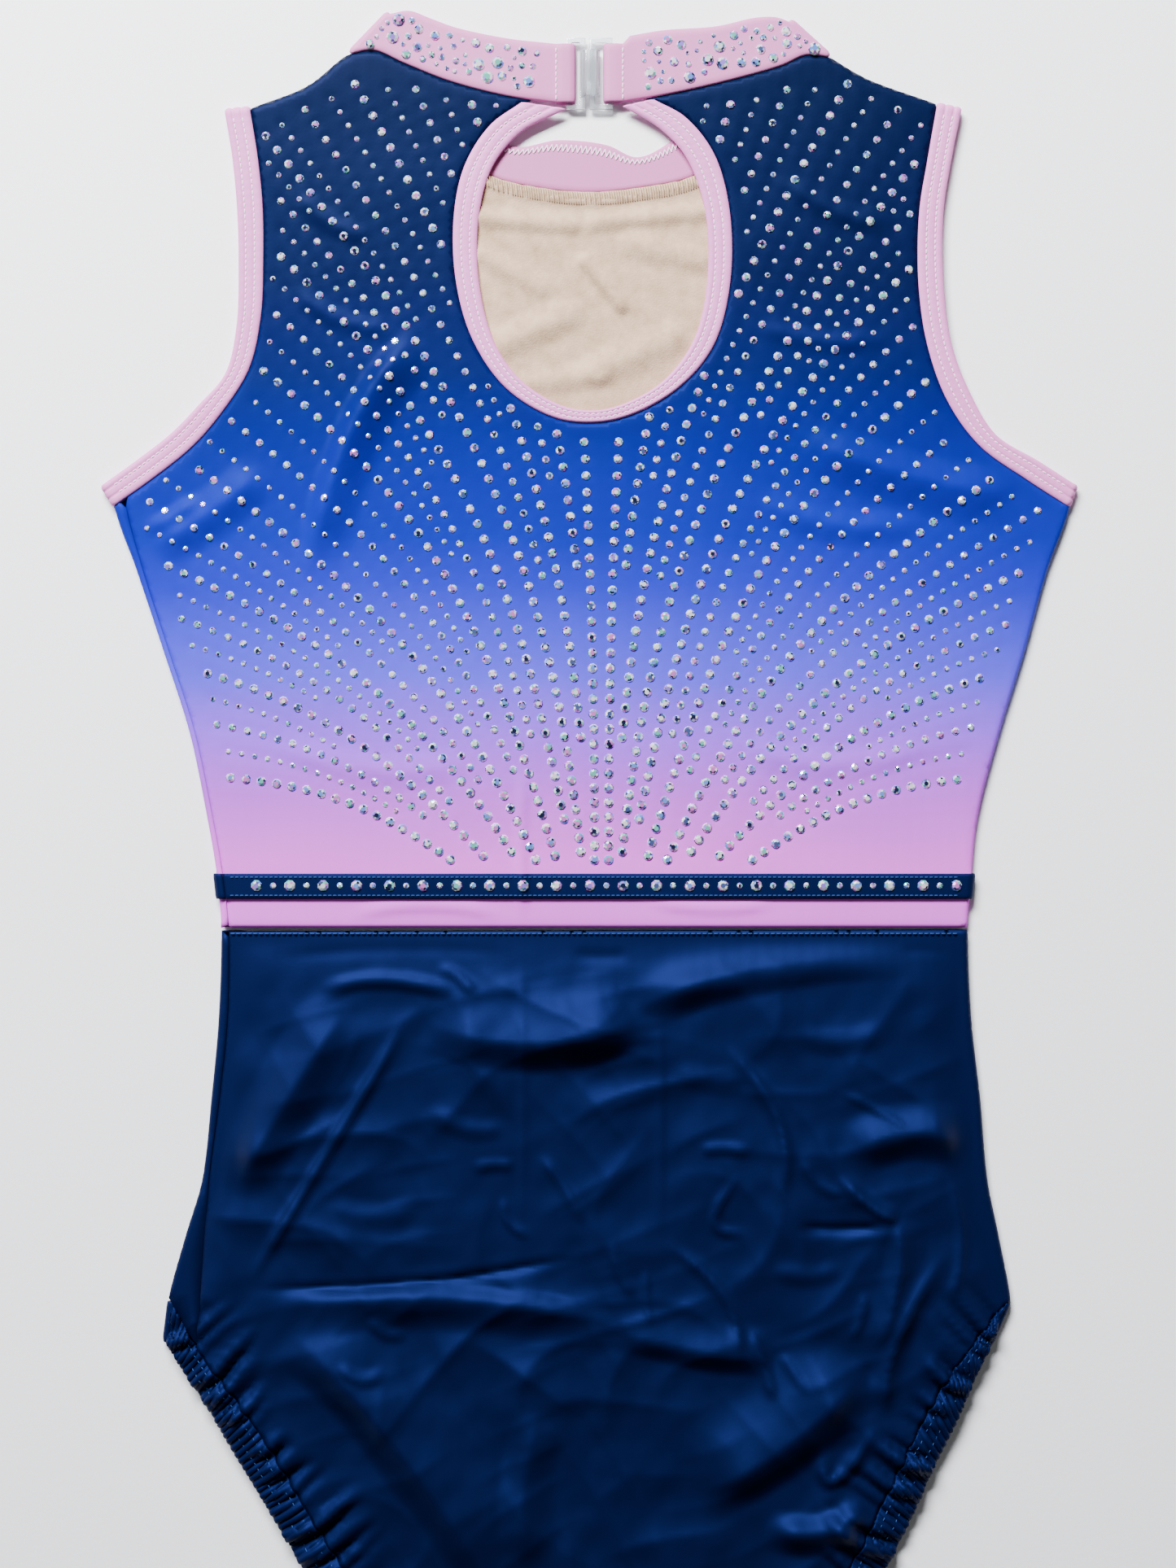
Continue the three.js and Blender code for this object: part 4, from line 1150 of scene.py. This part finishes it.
# Bindings of the armholes and the keyhole. Pink satin knit cut as a strip, folded over
# the raw edge and sewn down through all layers with two rows of coverstitch.
BINDING = 1.5
ROUNDED = np.r_[0, 0.03, 0.07, 0.13, np.linspace(0.2, 0.8, 13), 0.87, 0.93, 0.97, 1]

pink_knit, where, pink_shader = satin_knit("satin_binding_pink", 0.5, 0.3, "#ffe3f6")
pink_shader.inputs["Base Color"].default_value = linear("#d67fbd")


def stations(rows, spacing, high):
    """Pairs of points on the sewn and the free edge of a band, at even spacing."""
    length = np.linalg.norm(np.diff(line_of(rows, 60), axis=0), axis=1).sum()
    count = int(round(length / spacing))
    sewn, free = line_of(rows, count), line_of(rows, count, "f")
    across = free - sewn
    across /= np.linalg.norm(across, axis=1)[:, None]
    travel = np.gradient(sewn, axis=0)
    travel /= np.linalg.norm(travel, axis=1)[:, None]
    slant = np.abs(travel[:, 0] * across[:, 1] - travel[:, 1] * across[:, 0])
    start = sewn + across * (SEAM / np.maximum(slant, 0.2))[:, None]
    flat = start[:, None] + (free - start)[:, None] * ROUNDED[None, :, None]
    z = np.full(flat.shape[:2], high)
    return np.concatenate([flat, z[..., None]], axis=2)


def turned_band(row, before, low, high, angles):
    """A row of a band carried round a fold line that runs through it."""
    line = (row[-1] - row[0])[:2]
    out = np.array([line[1], -line[0]]) / np.hypot(*line)
    if out @ (row[0] - before[0])[:2] < 0:
        out = -out
    radius = (high - low) / 2
    turned = []
    for angle in angles:
        moved = row.copy()
        moved[:, :2] += out * radius * math.sin(angle)
        moved[:, 2] = low + radius + radius * math.cos(angle)
        turned.append(moved)
    return np.array(turned)


FOLD_ANGLES = np.linspace(0, math.pi, 9)[1:-1]


def ring_grid(rows, thickness, spacing, under_spacing):
    """Along the back, round one fold, along the front and round the other fold."""
    low, high = thickness / 2, BACK_BASE + thickness / 2
    over = stations(rows, spacing, high)
    under = stations(rows, under_spacing, low)[::-1]
    far = turned_band(over[-1], over[-3], low, high, FOLD_ANGLES)
    near = turned_band(over[0], over[2], low, high, FOLD_ANGLES)[::-1]
    over[..., 2] += lift(over[..., 0], over[..., 1])
    over[0, :, 2] = over[-1, :, 2] = high
    return np.concatenate([over, far, under, near]), len(over)


def rim(across, at_edge, wide):
    """Share of the full thickness across a band that is rounded at both edges."""
    return at_edge + (1 - at_edge) * np.sqrt(ease(np.minimum(across, 1 - across) / wide))


def binding(name, made):
    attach(made, "root")
    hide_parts(name)


STITCH_SHARES = (0.35, 0.70)


def binding_thickness(count):
    """Thick between the stitch rows, drawn in along them."""
    drawn = sum(np.exp(-(((ROUNDED - share) / 0.045) ** 2)) for share in STITCH_SHARES)
    across = BINDING * rim(ROUNDED, 0.25, 0.14) * (1.14 - 0.48 * drawn)
    pucker = 1 + 0.06 * np.sin(np.arange(count) * 2.1)[:, None] * (1 - drawn)[None, :]
    return across[None, :] * pucker


for name, rows in (("armhole_binding_left", armhole_left), ("armhole_binding_right", armhole_right)):
    grid, _ = ring_grid(rows, BINDING, 1.2, 2.5)
    made = thick_grid(name + "_cloth", grid, binding_thickness(len(grid)), pink_knit, ring=True)
    binding(name, made)
grid = stations(keyhole, 1.2, BACK_BASE + BINDING / 2)
grid[..., 2] += lift(grid[..., 0], grid[..., 1])
keyhole_binding = thick_grid("keyhole_binding_cloth", grid, binding_thickness(len(grid)), pink_knit)
binding("keyhole_binding", keyhole_binding)


# Leg hems. The edge of the brief turned up over elastic and coverstitched in two rows; the
# elastic draws it into fine ribs.
HEM = 1.4
RIB_PITCH = 3.1
RIB_RISE = 1.6
RIB_LIFTS, RIB_SWELLS = 0.6, 0.5  # shares of a rib that lift the hem and thicken it


def hem_ribs(grid, seed):
    """Height that the ribs add to each place of a hem, with an uneven pitch."""
    pick = np.random.default_rng(seed)
    run = np.r_[0, np.cumsum(np.linalg.norm(np.diff(grid[:, 8], axis=0), axis=1))]
    knots = np.cumsum(RIB_PITCH * pick.uniform(0.8, 1.2, int(run[-1] / RIB_PITCH) + 60))
    phase = np.interp(run, np.r_[0, knots], np.arange(len(knots) + 1))
    lean = 0.35 * np.sin(run / 19 + seed)[:, None] * (ROUNDED - 0.5)[None, :]
    tall = (0.85 + 0.15 * np.sin(run / 7.3 + 2 * seed))[:, None]
    wave = np.cos((phase[:, None] + lean) * 2 * math.pi)
    return RIB_RISE * tall * (0.5 + 0.5 * wave) * (0.55 + 0.45 * ease(ROUNDED / 0.4))[None, :]


for k, (name, rows) in enumerate((("leg_hem_left", leg_left), ("leg_hem_right", leg_right))):
    grid, over = ring_grid(rows, HEM, 0.5, 0.9)
    ribs = hem_ribs(grid, 3 + k)
    ease_in = ease(np.minimum(np.arange(over), np.arange(over)[::-1]) / 8)[:, None]
    ribs[:over] *= ease_in
    ribs[over:] *= 0.0
    grid[..., 2] += ribs * RIB_LIFTS
    across = np.where(ROUNDED < 0.5, rim(ROUNDED, 0.75, 0.14), rim(ROUNDED, 0.3, 0.14))
    thickness = HEM * across[None, :] + ribs * RIB_SWELLS
    made = thick_grid(name + "_cloth", grid, thickness, navy_knit, ring=True)
    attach(made, "root")
    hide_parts(name)


# Collar. One doubled strip of the pink knit round the neck; its ends are folded back to
# loops round the outer bars of the clasp and sewn down across.
DOUBLED = 1.6
STITCH_LEFT, STITCH_RIGHT = -12.2, 12.4
LOOP_LEFT_Y, LOOP_RIGHT_Y = (294, 315.6), (294.3, 315.7)
loop = table(
    "out z wall",
    (0, 3.45, 1.5),
    (2.2, 3.9, 1.1),
    (5.2, 3.9, 1.0),
    (6.4, 3.4, 1.0),
    (6.9, 2.2, 1.0),
    (6.4, 1.0, 1.0),
    (5.2, 0.5, 1.0),
    (2.6, 0.6, 1.0),
    (0.2, 1.5, 0.9),
)


def loop_rows(stitch, sign, ends):
    """Rows of a loop, from the stitch line round the bar of the clasp and back."""
    at = np.linspace(0, len(loop["out"]) - 1, 4 * len(loop["out"]))
    out, z, thick = (np.interp(at, np.arange(len(loop["out"])), loop[k]) for k in ("out", "z", "wall"))
    y = ends[0] + (ends[1] - ends[0]) * ROUNDED
    grid = np.zeros((len(at), len(ROUNDED), 3))
    grid[..., 0] = (stitch + sign * out)[:, None]
    grid[..., 1] = y[None, :]
    grid[..., 2] = z[:, None]
    return grid, thick


high, low = BACK_BASE + DOUBLED / 2, DOUBLED / 2
over_left = stations(collar_back_left, 1.2, high)
under_front = stations(collar_front, 1.5, low)
over_right = stations(collar_back_right, 1.2, high)
left_loop, left_wall = loop_rows(STITCH_LEFT, 1, LOOP_LEFT_Y)
right_loop, right_wall = loop_rows(STITCH_RIGHT, -1, LOOP_RIGHT_Y)
parts = [
    left_loop[::-1],
    over_left,
    turned_band(over_left[-1], over_left[-3], low, high, FOLD_ANGLES),
    under_front,
    turned_band(over_right[0], over_right[2], low, high, FOLD_ANGLES)[::-1],
    over_right,
    right_loop,
]
walls = [left_wall[::-1], *[np.full(len(p), DOUBLED) for p in parts[1:-1]], right_wall]
collar_grid = np.concatenate(parts)
thickness = np.concatenate(walls)[:, None] * rim(ROUNDED, 0.3, 0.08)[None, :]
# the collar is the same pink knit as the bindings; its darker pink is painted shade
collar_knit_painted_shade, where, collar_painted_shade_shader = satin_knit("satin_collar_pink_painted_shade", 0.5, 0.25, "#ffe3f6")
# darker base colour: painted shade on the collar
collar_painted_shade_shader.inputs["Base Color"].default_value = linear("#c472a6")
collar = thick_grid("collar_cloth", collar_grid, thickness, collar_knit_painted_shade)
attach(collar, "root")
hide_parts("collar")


# Clasp. Two clear plastic frames moulded in one piece each: the tongue of the hook passes
# over the bar of the eye. Their outer bars lie in the loops of the collar.
BAR_LOW, BAR_HIGH = 1.4, 3.0
FRAME_LOW, FRAME_HIGH = 291.8, 318.2
LINK = 1.8

clear_plastic, tree = new_material("clear_moulded_plastic")
plastic_shader = add_node(
    tree, "ShaderNodeBsdfPrincipled",
    {"Base Color": linear("#eef3f6"), "Roughness": 0.08, "IOR": 1.46,
     "Transmission Weight": 0.85, "Coat Weight": 0.4, "Coat Roughness": 0.05},
)
add_node(tree, "ShaderNodeOutputMaterial", links={"Surface": (plastic_shader, 0)})


def moulded(name, parts):
    """One plastic piece of prisms, its edges rounded as in the mould."""
    points, faces = [], []
    for outline, low, high, upright in parts:
        start, n = len(points), len(outline)
        for level in (low, high):
            points += [(x, y, level) if upright else (x, level, y) for x, y in outline]
        rings = [(0, n)] if len(outline) != 8 or not upright else [(0, 4), (4, 4)]
        for first, count in rings:
            for k in range(count):
                a, b = start + first + k, start + first + (k + 1) % count
                faces.append((a, b, b + n, a + n))
        if len(rings) == 1:
            faces += [tuple(range(start, start + n))[::-1], tuple(range(start + n, start + 2 * n))]
        else:
            for k in range(4):
                a, b = start + k, start + (k + 1) % 4
                c, d = start + 4 + (4 - k - 1) % 4, start + 4 + (4 - k) % 4
                faces += [(b, a, d, c), (a + n, b + n, c + n, d + n)]
        if not upright:
            faces = [f[::-1] for f in faces]
    made = make_object(name, np.array(points, float), faces, clear_plastic)
    rounding = made.modifiers.new("rounded_edges", "BEVEL")
    rounding.width = 0.35 * MM
    rounding.segments = 3
    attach(made, "root")
    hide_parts(name.replace("_plastic", ""))


def frame_outline(x0, x1, outer_bar, inner_bar):
    """Outside corners anticlockwise, then the corners of the slot clockwise."""
    slot = (x0 + outer_bar, x1 - inner_bar, FRAME_LOW + LINK, FRAME_HIGH - LINK)
    return [
        (x0, FRAME_LOW), (x1, FRAME_LOW), (x1, FRAME_HIGH), (x0, FRAME_HIGH),
        (slot[0], slot[2]), (slot[0], slot[3]), (slot[1], slot[3]), (slot[1], slot[2]),
    ]


tongue = [
    (-3.4, BAR_LOW + 0.2), (-1.6, BAR_LOW + 0.2), (-1.2, 3.3), (2.5, 3.3), (2.5, 1.2),
    (4.0, 1.2), (4.0, 3.6), (3.0, 4.6), (-1.4, 4.6),
]
moulded("clasp_hook_plastic", [
    (frame_outline(-8.5, -1.4, 2.0, 2.1), BAR_LOW, BAR_HIGH, True),
    (tongue, 296.5, 313.5, False),
])
moulded("clasp_eye_plastic", [(frame_outline(0.1, 8.7, 2.0, 2.0), BAR_LOW, BAR_HIGH, True)])


# Stones. Flat-backed glass crystals glued to the knit: a fountain of rows on the bodice,
# one row of large and small in turn on the waist strip, and a scatter on the collar.
crystal, tree = new_material("faceted_glass_crystal")
own = add_node(tree, "ShaderNodeAttribute", {"attribute_name": "facet"})
# the coating tints each facet its own pale colour; the white facets are also painted glints and the dark
# ones painted reflections of the dim room
coating_tint_and_painted_glint = add_node(tree, "ShaderNodeValToRGB", links={"Fac": (own, "Fac")})
coating_tint_and_painted_glint.color_ramp.interpolation = "CONSTANT"
coating_tints_and_painted_glints = [
    (0.00, "#f4fbff"),
    (0.18, "#6fd0bd"),
    (0.32, "#e07fd6"),
    (0.46, "#ffffff"),
    (0.60, "#6f9cf0"),
    (0.72, "#9f7be6"),
    (0.80, "#4d5c92"),
    (0.90, "#1c2444"),
]
set_ramp(coating_tint_and_painted_glint.color_ramp, coating_tints_and_painted_glints)
# a weak emission in the same facet colours is a painted glow of the stones
crystal_shader = add_node(
    tree, "ShaderNodeBsdfPrincipled",
    {"Roughness": 0.14, "Metallic": 0.55, "IOR": 1.6, "Coat Weight": 0.5,
     "Emission Strength": 0.12},
    {"Base Color": (coating_tint_and_painted_glint, "Color"), "Emission Color": (coating_tint_and_painted_glint, "Color")},
)
add_node(tree, "ShaderNodeOutputMaterial", links={"Surface": (crystal_shader, 0)})

STONE_SIDES = 8


def node_group(name, made, **inputs):
    """A node group with the given inputs and one output of geometry. Returns it, its
    sockets by name and its input node."""
    group = bpy.data.node_groups.new(name, "GeometryNodeTree")
    new_socket = group.interface.new_socket
    sockets = {key: new_socket(key, in_out="INPUT", socket_type="NodeSocket" + kind)
               for key, kind in inputs.items()}
    new_socket(made, in_out="OUTPUT", socket_type="NodeSocketGeometry")
    return group, sockets, add_node(group, "NodeGroupInput")


stone_tree, stone_sockets, given = node_group("set_stones", "Stones", Points="Geometry", Seed="Int")
girdle = add_node(
    stone_tree, "GeometryNodeMeshCone",
    {"Vertices": STONE_SIDES, "Radius Top": 0.80, "Radius Bottom": 1.0, "Depth": 0.30},
)
crown = add_node(
    stone_tree, "GeometryNodeMeshCone",
    {"Vertices": STONE_SIDES, "Radius Top": 0.44, "Radius Bottom": 0.80, "Depth": 0.24},
)
raised = add_node(
    stone_tree, "GeometryNodeTransform",
    {"Translation": (0, 0, 0.295), "Rotation": (0, 0, math.pi / STONE_SIDES)},
    {"Geometry": (crown, "Mesh")},
)
cut_stone = add_node(stone_tree, "GeometryNodeJoinGeometry", links={0: (girdle, "Mesh")})
stone_tree.links.new(raised.outputs[0], cut_stone.inputs[0])
size = add_node(stone_tree, "GeometryNodeInputNamedAttribute", {"data_type": "FLOAT", "Name": "size"})
lean = add_node(
    stone_tree, "GeometryNodeInputNamedAttribute", {"data_type": "FLOAT_VECTOR", "Name": "lean"},
)
upright = add_node(stone_tree, "FunctionNodeAlignRotationToVector", {"axis": "Z"}, {"Vector": (lean, 0)})
placed = add_node(
    stone_tree, "GeometryNodeInstanceOnPoints",
    links={"Points": (given, 0), "Instance": (cut_stone, 0), "Rotation": (upright, 0),
           "Scale": (size, 0)},
)
spin = add_node(
    stone_tree, "FunctionNodeRandomValue",
    {"data_type": "FLOAT_VECTOR", "Min": (-0.06, -0.06, 0.0), "Max": (0.06, 0.06, 6.3)},
    {"Seed": (given, "Seed")},
)
spun = add_node(
    stone_tree, "GeometryNodeRotateInstances",
    links={"Instances": (placed, 0), "Rotation": (spin, "Value")},
)
real = add_node(stone_tree, "GeometryNodeRealizeInstances", links={0: (spun, 0)})
tint = add_node(stone_tree, "FunctionNodeRandomValue", {"data_type": "FLOAT"}, {"Seed": (given, "Seed")})
tinted = add_node(
    stone_tree, "GeometryNodeStoreNamedAttribute",
    {"data_type": "FLOAT", "domain": "FACE", "Name": "facet"},
    {"Geometry": (real, 0), "Value": (tint, 1)},
)
painted = add_node(stone_tree, "GeometryNodeSetMaterial", {"Material": crystal}, {"Geometry": (tinted, 0)})
add_node(stone_tree, "NodeGroupOutput", links={0: (painted, 0)})


def run_nodes(name, points, edges, attributes, group, sockets, **inputs):
    """Builds repeats on a mesh with a node group, and keeps the plain mesh it makes."""
    mesh = bpy.data.meshes.new(name)
    mesh.from_pydata((points * MM).tolist(), edges, [])
    for key, values in attributes.items():
        kind = "FLOAT_VECTOR" if values.ndim == 2 else "FLOAT"
        layer = mesh.attributes.new(key, kind, "POINT")
        layer.data.foreach_set("vector" if values.ndim == 2 else "value", values.ravel())
    guide = link_object(name + "_guide", mesh)
    modifier = guide.modifiers.new("repeat", "NODES")
    modifier.node_group = group
    for key, value in inputs.items():
        modifier[sockets[key].identifier] = value
    depsgraph = bpy.context.evaluated_depsgraph_get()
    built = bpy.data.meshes.new_from_object(guide.evaluated_get(depsgraph))
    guide.modifiers.remove(modifier)
    bpy.data.objects.remove(guide)
    built.name = name
    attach(link_object(name, built), "root")


def on_cloth(x, y, height):
    """Points that high over the table plus the lift of the cloth, and the way it leans."""
    slope_x = (lift(x + 0.8, y) - lift(x - 0.8, y)) / 1.6
    slope_y = (lift(x, y + 0.8) - lift(x, y - 0.8)) / 1.6
    points = np.column_stack([x, y, height + lift(x, y)])
    return points, np.column_stack([-slope_x, -slope_y, np.ones_like(x)])


def set_stones(name, places, height, seed):
    points, leaning = on_cloth(places[:, 0], places[:, 1], height)
    sizes = places[:, 2] * MM
    run_nodes(name, points, [], {"size": sizes, "lean": leaning}, stone_tree, stone_sockets, Seed=seed)


set_stones("bodice_stones", stones, BACK_MID + CLOTH / 2 - DIMPLE, 11)
STRIP_PITCH = 6.13
STRIP_RADII = (2.15, 1.2)
GLUED = 0.05  # how far a stone sits in the cloth of a strip
strip_x = np.arange(-122.4, 135.5, STRIP_PITCH)
strip_r = np.where(np.arange(len(strip_x)) % 2 == 0, *STRIP_RADII)
strip_stones = np.column_stack([strip_x, np.full_like(strip_x, 5.5), strip_r])
set_stones("waist_strip_stones", strip_stones, BACK_MID + OVERLAID + CLOTH / 2 - GLUED, 12)


SCATTER_RADII, SCATTER_SHARES = (2.4, 1.9, 1.4, 1.0), (0.3, 0.3, 0.25, 0.15)
SCATTER_APART = 0.7


def collar_scatter(rows, seed, tries=1500):
    """Stones of mixed size strewn over one half of the collar."""
    pick = np.random.default_rng(seed)
    sewn, free = line_of(rows), line_of(rows, edge="f")
    kept = np.zeros((0, 3))
    for _ in range(tries):
        i, across = pick.integers(4, 56), pick.uniform(0.16, 0.84)
        radius = pick.choice(SCATTER_RADII, p=SCATTER_SHARES)
        at = sewn[i] + (free[i] - sewn[i]) * across
        gaps = np.hypot(*(kept[:, :2] - at).T) - kept[:, 2] - radius
        if (gaps > SCATTER_APART).all():
            kept = np.vstack([kept, (*at, radius)])
    return kept


scatter = np.vstack([collar_scatter(collar_back_left, 5), collar_scatter(collar_back_right, 6)])
set_stones("collar_stones", scatter, BACK_BASE + DOUBLED - GLUED, 13)


# Stitches. Polyester thread in the colour of each part: coverstitch along the bindings,
# strips and hems, lockstitch across the collar loops, zigzag and overlock at the neck.
def thread(name, color):
    """Soft twisted sewing thread."""
    material, tree = new_material(name)
    where = add_node(tree, "ShaderNodeTexCoord")
    fibre = add_node(tree, "ShaderNodeTexNoise", {"Scale": 3000.0}, {"Vector": (where, "Object")})
    bump = add_node(tree, "ShaderNodeBump", {"Strength": 0.3, "Distance": 0.0001}, {"Height": (fibre, 0)})
    shader = add_node(
        tree, "ShaderNodeBsdfPrincipled",
        {"Base Color": linear(color), "Roughness": 0.7, "Specular IOR Level": 0.15},
        {"Normal": (bump, 0)},
    )
    add_node(tree, "ShaderNodeOutputMaterial", links={"Surface": (shader, 0)})
    return material


thread_tree, thread_sockets, given = node_group(
    "lay_thread", "Stitches", Paths="Geometry", Radius="Float", Thread="Material",
)
path = add_node(thread_tree, "GeometryNodeMeshToCurve", links={0: (given, "Paths")})
section = add_node(
    thread_tree, "GeometryNodeCurvePrimitiveCircle", {"Resolution": 6}, {"Radius": (given, "Radius")},
)
tube = add_node(
    thread_tree, "GeometryNodeCurveToMesh",
    {"Fill Caps": True},
    {"Curve": (path, 0), "Profile Curve": (section, 0)},
)
real = add_node(thread_tree, "GeometryNodeRealizeInstances", links={0: (tube, 0)})
painted = add_node(
    thread_tree, "GeometryNodeSetMaterial", links={0: (real, 0), "Material": (given, "Thread")},
)
add_node(thread_tree, "NodeGroupOutput", links={0: (painted, 0)})

STITCH = 2.1
THREAD_RADIUS = 0.25


def stitch_row(line, pitch=STITCH, filled=0.62, bow=0.2):
    """Stitches along a line of points: each a short bowed length whose ends dip in."""
    at = resample(line, pitch)
    a, b = at[:-1], at[:-1] + (at[1:] - at[:-1]) * filled
    middle = (a + b) / 2 + (0, 0, bow)
    return np.stack([a - (0, 0, 0.12), middle, b - (0, 0, 0.12)], 1)


def lay_stitches(name, rows, material, radius=THREAD_RADIUS):
    points = np.concatenate(rows).reshape(-1, 3)
    edges = [(i + k, i + k + 1) for i in range(0, len(points), 3) for k in (0, 1)]
    run_nodes(name, points, edges, {}, thread_tree, thread_sockets, Radius=radius * MM, Thread=material)


def band_line(rows, share, height, skip=0):
    """Points at a share of the width of a band, on its upper side."""
    sewn, free = line_of(rows, 240), line_of(rows, 240, "f")
    flat = (sewn + (free - sewn) * share)[skip:len(sewn) - skip]
    return np.column_stack([flat, height + lift(flat[:, 0], flat[:, 1])])


def plain_line(from_x, to_x, y, height):
    xs = np.arange(from_x, to_x, 1.0)
    ys = np.full_like(xs, y)
    return np.column_stack([xs, ys, height + lift(xs, ys)])


pink_thread = thread("pink_sewing_thread", "#f7dcef")
navy_thread = thread("navy_sewing_thread", "#1f3c74")
beige_thread = thread("beige_sewing_thread", "#a0846a")

binding_top = BACK_BASE + BINDING - 0.12
pink_rows = [
    stitch_row(band_line(rows, share, binding_top, 4))
    for rows in (armhole_left, armhole_right, keyhole)
    for share in STITCH_SHARES
]
for x, ends in ((STITCH_LEFT, LOOP_LEFT_Y), (STITCH_RIGHT, LOOP_RIGHT_Y)):
    y = np.linspace(ends[0] + 1, ends[1] - 1, 12)
    pink_rows.append(stitch_row(np.column_stack([np.full(12, x), y, np.full(12, 4.25)])))
# zigzag along the free edge of the front of the collar
neck, neck_sewn = line_of(collar_front, 160, "f"), line_of(collar_front, 160)
inside = np.abs(neck[:, 0]) < 44
edge_line = resample((neck + (neck_sewn - neck) * 0.10)[inside], 0.9)
inner_line = resample((neck + (neck_sewn - neck) * 0.24)[inside], 0.9)
count = min(len(edge_line), len(inner_line))
turns = np.where((np.arange(count) % 2 == 0)[:, None], edge_line[:count], inner_line[:count])
zigzag = np.column_stack([turns, np.full(count, DOUBLED + 0.05)])
between = (zigzag[:-1] + zigzag[1:]) / 2 + (0, 0, 0.15)
pink_rows.append(np.stack([zigzag[:-1], between, zigzag[1:]], 1))
lay_stitches("pink_stitches", pink_rows, pink_thread)

strip_top = BACK_MID + OVERLAID + CLOTH / 2
left_x, right_x = float(left_fold(5.0)) + 5, float(right_fold(5.0)) - 4
navy_rows = [
    stitch_row(plain_line(left_x, right_x, y, strip_top), 1.8)
    for y in (STRIP_LOW + 1.3, STRIP_HIGH - 1.3)
]
navy_rows.append(stitch_row(plain_line(left_x, right_x, -12.2, BACK_MID + CLOTH / 2 + 0.5), 2.1))
hem_top = BACK_BASE + HEM + 0.5
hem_rows = [
    stitch_row(band_line(rows, share, hem_top, 10), 2.6, 0.5)
    for rows in (leg_left, leg_right)
    for share in (0.22, 0.60)
]
lay_stitches("navy_stitches", navy_rows, navy_thread, 0.24)
lay_stitches("hem_stitches", hem_rows, navy_thread, 0.18)

# overlock loops over the cut edge of the lining
tops = np.arange(-44, 44, 0.9)
edge_y = look_up(collar_front, "sx", "sy", tops) - SEAM
loops = []
for along, down, up in ((0, 0.2, 0.1), (0.3, 2.3, 0.4), (0.6, OVERLOCK, 0.1)):
    at = np.column_stack([tops + along, edge_y - down])
    loops.append(np.column_stack([at, LINING_MID + CLOTH / 2 + lining_relief(at) + up]))
loops = np.stack(loops, 1)
lay_stitches("overlock_stitches", [loops], beige_thread, 0.24)


# Floor, light and camera: a plain pale table, one large soft window light from beyond the
# collar and a little to the left, a weak one at each side, and a camera straight above.
floor_paint, tree = new_material("pale_table_top")
where = add_node(tree, "ShaderNodeTexCoord")
pebble = add_node(
    tree, "ShaderNodeTexNoise",
    {"Scale": 500.0, "Detail": 3.0},
    {"Vector": (where, "Object")},
)
bump = add_node(tree, "ShaderNodeBump", {"Strength": 0.12, "Distance": 0.0004}, {"Height": (pebble, 0)})
floor_shader = add_node(
    tree, "ShaderNodeBsdfPrincipled",
    {"Roughness": 0.6, "Base Color": linear("#ffffff")},
    {"Normal": (bump, 0)},
)
add_node(tree, "ShaderNodeOutputMaterial", links={"Surface": (floor_shader, 0)})
floor_mesh = bpy.data.meshes.new("table_top")
HALF_FLOOR = 3.0
floor_mesh.from_pydata(
    [(-HALF_FLOOR, -HALF_FLOOR, 0), (HALF_FLOOR, -HALF_FLOOR, 0),
     (HALF_FLOOR, HALF_FLOOR, 0), (-HALF_FLOOR, HALF_FLOOR, 0)],
    [], [(0, 1, 2, 3)],
)
floor_mesh.materials.append(floor_paint)
link_object("table_top", floor_mesh)


def soft_light(name, place, aim, width, depth, power, color):
    data = bpy.data.lights.new(name, "AREA")
    data.shape = "RECTANGLE"
    data.size, data.size_y = width, depth
    data.energy = power
    data.color = linear(color)[:3]
    lamp = link_object(name, data)
    lamp.location = place
    lamp.rotation_euler = (Vector(aim) - Vector(place)).to_track_quat("-Z", "Y").to_euler()


soft_light("window", (-0.45, 1.24, 1.02), (0, 0, 0), 1.0, 0.5, 122, "#f8faff")
soft_light("side_left", (-1.6, -0.1, 0.7), (0, 0, 0), 1.0, 0.8, 4, "#ffffff")
soft_light("side_right", (1.6, -0.3, 0.7), (0, 0, 0), 1.0, 0.8, 3, "#ffffff")
world = bpy.data.worlds.new("room")
world.use_nodes = True
world.node_tree.nodes["Background"].inputs["Color"].default_value = linear("#e6eaf0")
world.node_tree.nodes["Background"].inputs["Strength"].default_value = 0.06
bpy.context.scene.world = world

# The photo spans 433.5 by 578.1 mm of the table, centred on this point
VIEW_CENTRE = (-0.45 * MM, 42.9 * MM)
VIEW_HEIGHT = 578.1 * MM
CAMERA_UP = 0.80
SENSOR = 24.0
camera_data = bpy.data.cameras.new("camera")
camera_data.sensor_fit = "VERTICAL"
camera_data.sensor_height = SENSOR
camera_data.lens = SENSOR * CAMERA_UP / VIEW_HEIGHT
camera = link_object("camera", camera_data)
camera.location = (*VIEW_CENTRE, CAMERA_UP + BACK_MID * MM)
bpy.context.scene.camera = camera
